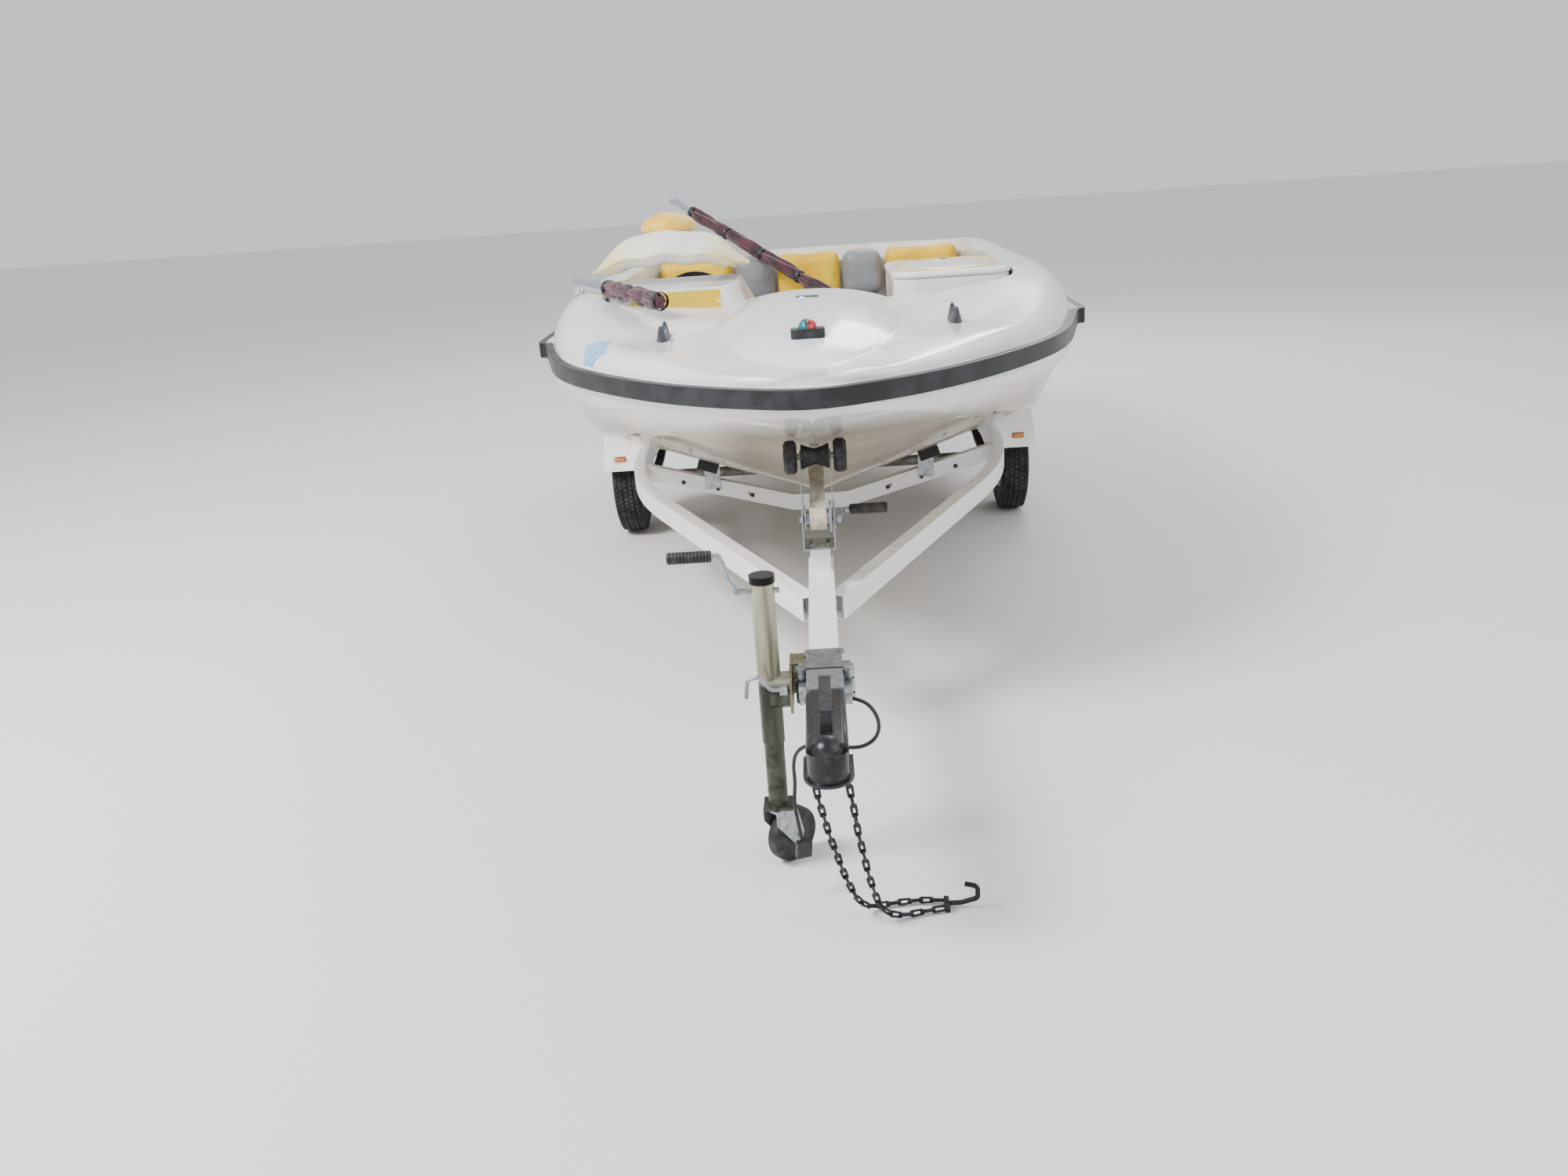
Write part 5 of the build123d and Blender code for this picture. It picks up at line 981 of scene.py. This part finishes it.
for node in ("winch_grip", "jack_grip"):
    low, high = (Vector(corner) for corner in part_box(node))
    radius = (high.z - low.z) / 2
    length = high.x - low.x
    rings = 13
    stations = [low.x + length * k / (4 * rings) for k in range(4 * rings + 1)]
    radii = [radius * (0.90 if k % 4 in (1, 2) else 1.0) * (0.82 if k in (0, 4 * rings) else 1.0)
             for k in range(4 * rings + 1)]
    middle = (low + high) / 2
    turned(node + "_ribbed", stations, radii, middle, soft_rubber, node, True)
for number, (low, high) in enumerate(solids_of("bow_stop")):
    middle = (low + high) / 2
    radius = (high.z - low.z) / 2
    half = (high.x - low.x) / 2
    shares = [k / 12 for k in range(-12, 13)]
    if number == 1:
        radii = [radius * (0.62 + 0.38 * min(1.0, abs(s) ** 1.4)) * (0.93 if abs(s) == 1 else 1) for s in shares]
    else:
        radii = [radius * (1.0 - 0.20 * abs(s) ** 4) for s in shares]
    turned(
        f"bow_roller_{number}", [middle.x + half * s for s in shares], radii, middle, soft_rubber,
        "bow_stop", number == 1,
    )

# ---------------------------------------------------------------- winch
# A hand winch between two pressed plates: the big gear stands by the port plate, and pale
# polyester webbing is wound on the drum and runs to the bow eye.
plate_high = Vector(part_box("winch_frame")[1])
DRUM_CENTRE = Vector((0.0, -1.450, 0.685))
GEAR_RADIUS = 0.046
gear_centre = DRUM_CENTRE + Vector((plate_high.x - GEAR_RADIUS, 0, 0))
TEETH = 40
bm = bmesh.new()
bmesh.ops.create_circle(bm, cap_ends=True, segments=TEETH * 4, radius=GEAR_RADIUS)
for vertex in bm.verts:
    if vertex.index % 4 in (0, 1):
        vertex.co *= 1.07
bmesh.ops.inset_region(bm, faces=bm.faces[:], thickness=0.008, depth=0.0)
inner = [face for face in bm.faces if len(face.verts) > 8]
bmesh.ops.inset_region(bm, faces=inner, thickness=0.004, depth=-0.0025)
bmesh.ops.solidify(bm, geom=bm.faces[:], thickness=0.005)
bmesh.ops.transform(bm, verts=bm.verts, matrix=Matrix.Translation(gear_centre) @ Matrix.Rotation(pi / 2, 4, "Y"))
make("winch_gear", closed(bm, 1e-7), zinc_plate, "winch_frame", smooth=25)


def bolt_pattern(size, height):
    """A hexagon head with a chamfer on a washer, standing along +Z."""
    bm = bmesh.new()
    bmesh.ops.create_cone(bm, cap_ends=True, segments=24, radius1=size * 1.25, radius2=size * 1.2, depth=height * 0.25)
    head = bmesh.ops.create_cone(bm, cap_ends=True, segments=6, radius1=size, radius2=size * 0.92, depth=height)
    bmesh.ops.translate(bm, verts=head["verts"], vec=(0, 0, height * 0.6))
    return pattern_mesh("bolt", bm)


bolt = bolt_pattern(0.008, 0.007)
small_bolt = bolt_pattern(0.005, 0.005)


def bolts(name, places, material, node, pattern):
    """Bolt heads at the given places, each along its own direction."""
    bm = bmesh.new()
    for spot, direction in places:
        facing = Vector(direction).to_track_quat("Z", "Y").to_matrix().to_4x4()
        stamp(bm, pattern, Matrix.Translation(spot) @ facing)
    return make(name, bm, material, node, smooth=30)


strap_weave, shader = begin("polyester_webbing", Roughness=0.8, Sheen_Weight=0.3)
point = object_point(strap_weave)
ribs = add(strap_weave, "ShaderNodeTexWave", {"Vector": point}, scale=70.0, bands_direction="X")
soiled = add(strap_weave, "ShaderNodeTexNoise", {"Vector": point}, scale=30.0, detail=7.0)
tone = add(strap_weave, "ShaderNodeValToRGB", {"Fac": soiled}, ((0.35, "#A79C84"), (0.65, "#D3CBB8")))
raised = add(strap_weave, "ShaderNodeBump", {"Height": ribs}, strength=0.5, distance=0.0008)
feed(shader, Base_Color=tone, Normal=raised)
strap_low, strap_high = (Vector(corner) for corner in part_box("winch_strap"))
span = Vector((0, strap_high.y - strap_low.y, strap_high.z - strap_low.z))
STRAP_HALF = 0.0245
bm = bmesh.new()
bmesh.ops.create_grid(bm, x_segments=10, y_segments=40, size=1.0)
for vertex in bm.verts:
    across, share = vertex.co.x, (vertex.co.y + 1) / 2
    vertex.co = Vector((
        across * STRAP_HALF * (1 - 0.12 * (1 - abs(2 * share - 1)) ** 2),
        strap_low.y + span.y * share,
        strap_low.z + span.z * share + 0.0015 * sin(5 * share) * across,
    ))
strap = make("winch_webbing", bm, strap_weave, "winch_strap", smooth=180, stands=True)
bm = bmesh.new()
bmesh.ops.create_cone(bm, cap_ends=True, segments=64, radius1=0.034, radius2=0.034, depth=0.050)
bmesh.ops.transform(bm, verts=bm.verts, matrix=Matrix.Translation(DRUM_CENTRE) @ Matrix.Rotation(pi / 2, 4, "Y"))
make("winch_webbing_coil", closed(bm), strap_weave, "winch_drum", smooth=40)

# ---------------------------------------------------------------- tyres
# Narrow trailer tyres: a round-shouldered carcass with five ribs of leaning tread blocks, and a
# scuffed, dusty sidewall.
tyre_rubber, shader = begin("weathered_tyre_rubber", Roughness=0.82)
point = object_point(tyre_rubber)
dusting = add(tyre_rubber, "ShaderNodeTexNoise", {"Vector": point}, scale=22.0, detail=9.0, roughness=0.7)
tone = add(tyre_rubber, "ShaderNodeValToRGB", {"Fac": dusting}, ((0.40, "#161617"), (0.74, "#4A4744")))
rough = add(tyre_rubber, "ShaderNodeBump", {"Height": dusting}, strength=0.3, distance=0.0012)
feed(shader, Base_Color=tone, Normal=rough)
rim_enamel = coated_steel("white_rim_enamel", "#E4E3DF", "#9C8D79", 0.34, 0.0, 26.0, 0.62)
TREAD_BLOCKS = 72
HUB_INSET = 0.012  # the grease cap stands this far inside the rim's face
for side_name in ("port", "starboard"):
    low, high = (Vector(corner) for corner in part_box("tyre_" + side_name))
    hub = (low + high) / 2
    half = (high.x - low.x) / 2
    crown = (high.z - low.z) / 2
    rim_low, rim_high = (Vector(corner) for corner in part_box("rim_" + side_name))
    bead = (rim_high.z - rim_low.z) / 2 - 0.004
    bm = bmesh.new()
    profile = [
        (0.72, bead), (0.80, bead + 0.010), (0.97, bead + 0.040), (1.0, bead + 0.062), (0.95, crown - 0.030),
        (0.84, crown - 0.010), (0.60, crown - 0.0075), (0.30, crown - 0.0068), (0.0, crown - 0.0065),
    ]
    profile += [(-x, r) for x, r in reversed(profile[:-1])]
    rings = [bm.verts.new((share * half, 0, radius)) for share, radius in profile]
    for first, second in zip(rings, rings[1:]):
        bm.edges.new((first, second))
    bmesh.ops.spin(
        bm, geom=bm.verts[:] + bm.edges[:], axis=(1, 0, 0), cent=(0, 0, 0), angle=2 * pi, steps=96, use_merge=True,
    )
    carcass = pattern_mesh("carcass", bm)
    bm = bmesh.new()
    stamp(bm, carcass, Matrix.Identity(4))
    block = bmesh.new()
    bmesh.ops.create_cube(block, size=1.0)
    tread_block = pattern_mesh("tread_block", block)
    pitch = 2 * pi / TREAD_BLOCKS
    for rib, (place, wide) in enumerate(((-0.70, 0.20), (-0.36, 0.26), (0.0, 0.26), (0.36, 0.26), (0.70, 0.20))):
        for k in range(TREAD_BLOCKS):
            turn = Matrix.Rotation((k + 0.5 * (rib % 2)) * pitch, 4, "X")
            drop = 0.0045 if abs(place) > 0.6 else 0.0
            spot = Matrix.Translation((place * half, 0, crown - 0.005 - drop))
            lean = Matrix.Rotation(radians(14 if rib % 2 else -14), 4, "Z")
            shape = Matrix.Diagonal((wide * half, 0.78 * pitch * crown, 0.0094, 1))
            stamp(bm, tread_block, turn @ spot @ lean @ shape)
    bmesh.ops.translate(bm, vec=hub, verts=bm.verts)
    make("tyre_tread_" + side_name, bm, tyre_rubber, "tyre_" + side_name, smooth=35, stands=True)
    skin("rim_" + side_name, rim_enamel, bevel=0.002, smooth=30)
    outward = 1 if hub.x > 0 else -1
    face = rim_high.x - HUB_INSET if outward > 0 else rim_low.x + HUB_INSET
    bm = bmesh.new()
    bmesh.ops.create_cone(bm, cap_ends=True, segments=48, radius1=0.032, radius2=0.026, depth=0.045)
    bmesh.ops.bevel(
        bm, geom=bm.edges[:], offset=0.003, segments=3, profile=0.5, affect="EDGES", material=-1,
    )
    cap_place = Matrix.Translation((face - outward * HUB_INSET, hub.y, hub.z)) @ Matrix.Rotation(outward * pi / 2, 4, "Y")
    bmesh.ops.transform(bm, verts=bm.verts, matrix=cap_place)
    make("hub_cap_" + side_name, closed(bm), zinc_plate, "rim_" + side_name)

# ---------------------------------------------------------------- lamps
# Amber markers on the front lips of the fenders and square red lamps on the rear posts: a dyed
# acrylic lens with moulded prisms over a black base.


def lens(name, dark, light):
    """Dyed acrylic with fine moulded prisms."""
    material, shader = begin(name, Roughness=0.12, IOR=1.49, Coat_Weight=0.5)
    point = object_point(material)
    prisms = add(material, "ShaderNodeTexChecker", {"Vector": point}, scale=260.0)
    tone = add(material, "ShaderNodeMixRGB", {"Fac": prisms.outputs["Fac"]}, color1=rgb(dark), color2=rgb(light))
    bump = add(material, "ShaderNodeBump", {"Height": prisms.outputs["Fac"]}, strength=0.35, distance=0.0008)
    feed(shader, Base_Color=tone, Normal=bump)
    return material


amber = lens("amber_acrylic_lens", "#C25708", "#F08A1C")
red = lens("red_acrylic_lens", "#9C0F14", "#C7242A")


def lamp_box(name, low, high, material, margin, out=None):
    """A lamp's box with rounded edges."""
    bm = bmesh.new()
    bmesh.ops.create_cube(bm, size=1.0)
    bmesh.ops.scale(bm, vec=high - low - Vector((2 * margin,) * 3), verts=bm.verts)
    bmesh.ops.bevel(
        bm, geom=bm.edges[:], offset=0.0035, segments=3, profile=0.5, affect="EDGES", material=-1,
    )
    bmesh.ops.translate(bm, vec=(low + high) / 2 + Vector(out or (0, 0, 0)), verts=bm.verts)
    return make(name, closed(bm), material, "trailer_lights", smooth=35)


for number, (low, high) in enumerate(solids_of("trailer_lights")):
    if high.z < 0.45:
        lamp_box(f"marker_base_{number}", low, high, black_nylon, 0.0012)
        front_low, front_high = low.copy(), high.copy()
        front_high.y = low.y + 0.010
        lamp_box(f"marker_lens_{number}", front_low, front_high, amber, 0.0018, (0, -0.0012, 0))
    else:
        lamp_box(f"tail_lamp_base_{number}", low, high, black_nylon, 0.0030)
        rear_low, rear_high = low.copy(), high.copy()
        rear_low.y = low.y + 0.012
        piece = lamp_box(f"tail_lamp_lens_{number}", rear_low, rear_high, red, 0.0005)
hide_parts("trailer_lights")

# ---------------------------------------------------------------- bunks and fastenings
# The hull rests on two timbers wrapped in black carpet. Plated bolts hold the pressed parts,
# and the ones on the frame have started to rust.
carpet = mottled(
    "black_marine_carpet", 320.0, 5.0, (0.35, "#121212"), (0.7, "#38363A"), (None, 0.9, 0.003),
    Roughness=0.95, Sheen_Weight=0.4,
)
skin("bunks", carpet, bevel=0.006, smooth=35, segments=3)
hinge_low, hinge_high = (Vector(corner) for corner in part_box("tongue_hinge_rear"))
bolts("hinge_bolts", [
    ((hinge_low.x + 0.030 + 0.085 * k, hinge_high.y - 0.030, 0.5345), (0, 0, 1)) for k in range(2)
], zinc_plate, "tongue_hinge_rear", bolt)
bolts("winch_base_bolts", [
    ((side * 0.026, -1.470 + 0.052 * k, 0.607), (0, 0, 1)) for side in (-1, 1) for k in range(2)
], zinc_plate, "winch_frame", small_bolt)
cross_low = Vector(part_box("crossmembers")[0])
bolts("crossmember_bolts", [
    ((side * x, cross_low.y - 0.001, 0.30 + 0.255 * (x - 0.12) - 0.035), (0, -1, 0))
    for side in (-1, 1) for x in (0.30, 0.45, 0.60)
], rust_brown, "crossmembers", bolt)

# ---------------------------------------------------------------- steering wheel and jack roller
# The helm's rim is wrapped in soft black rubber over three spokes, and the jack runs on a
# solid black roller.
skin("steering_wheel", soft_rubber, bevel=0.002, smooth=35)
skin("jack_wheel", soft_rubber, bevel=0.006, smooth=40, segments=4)

size = {"cad": [list(cad_low), list(cad_high)], "visual": [list(p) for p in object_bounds()]}
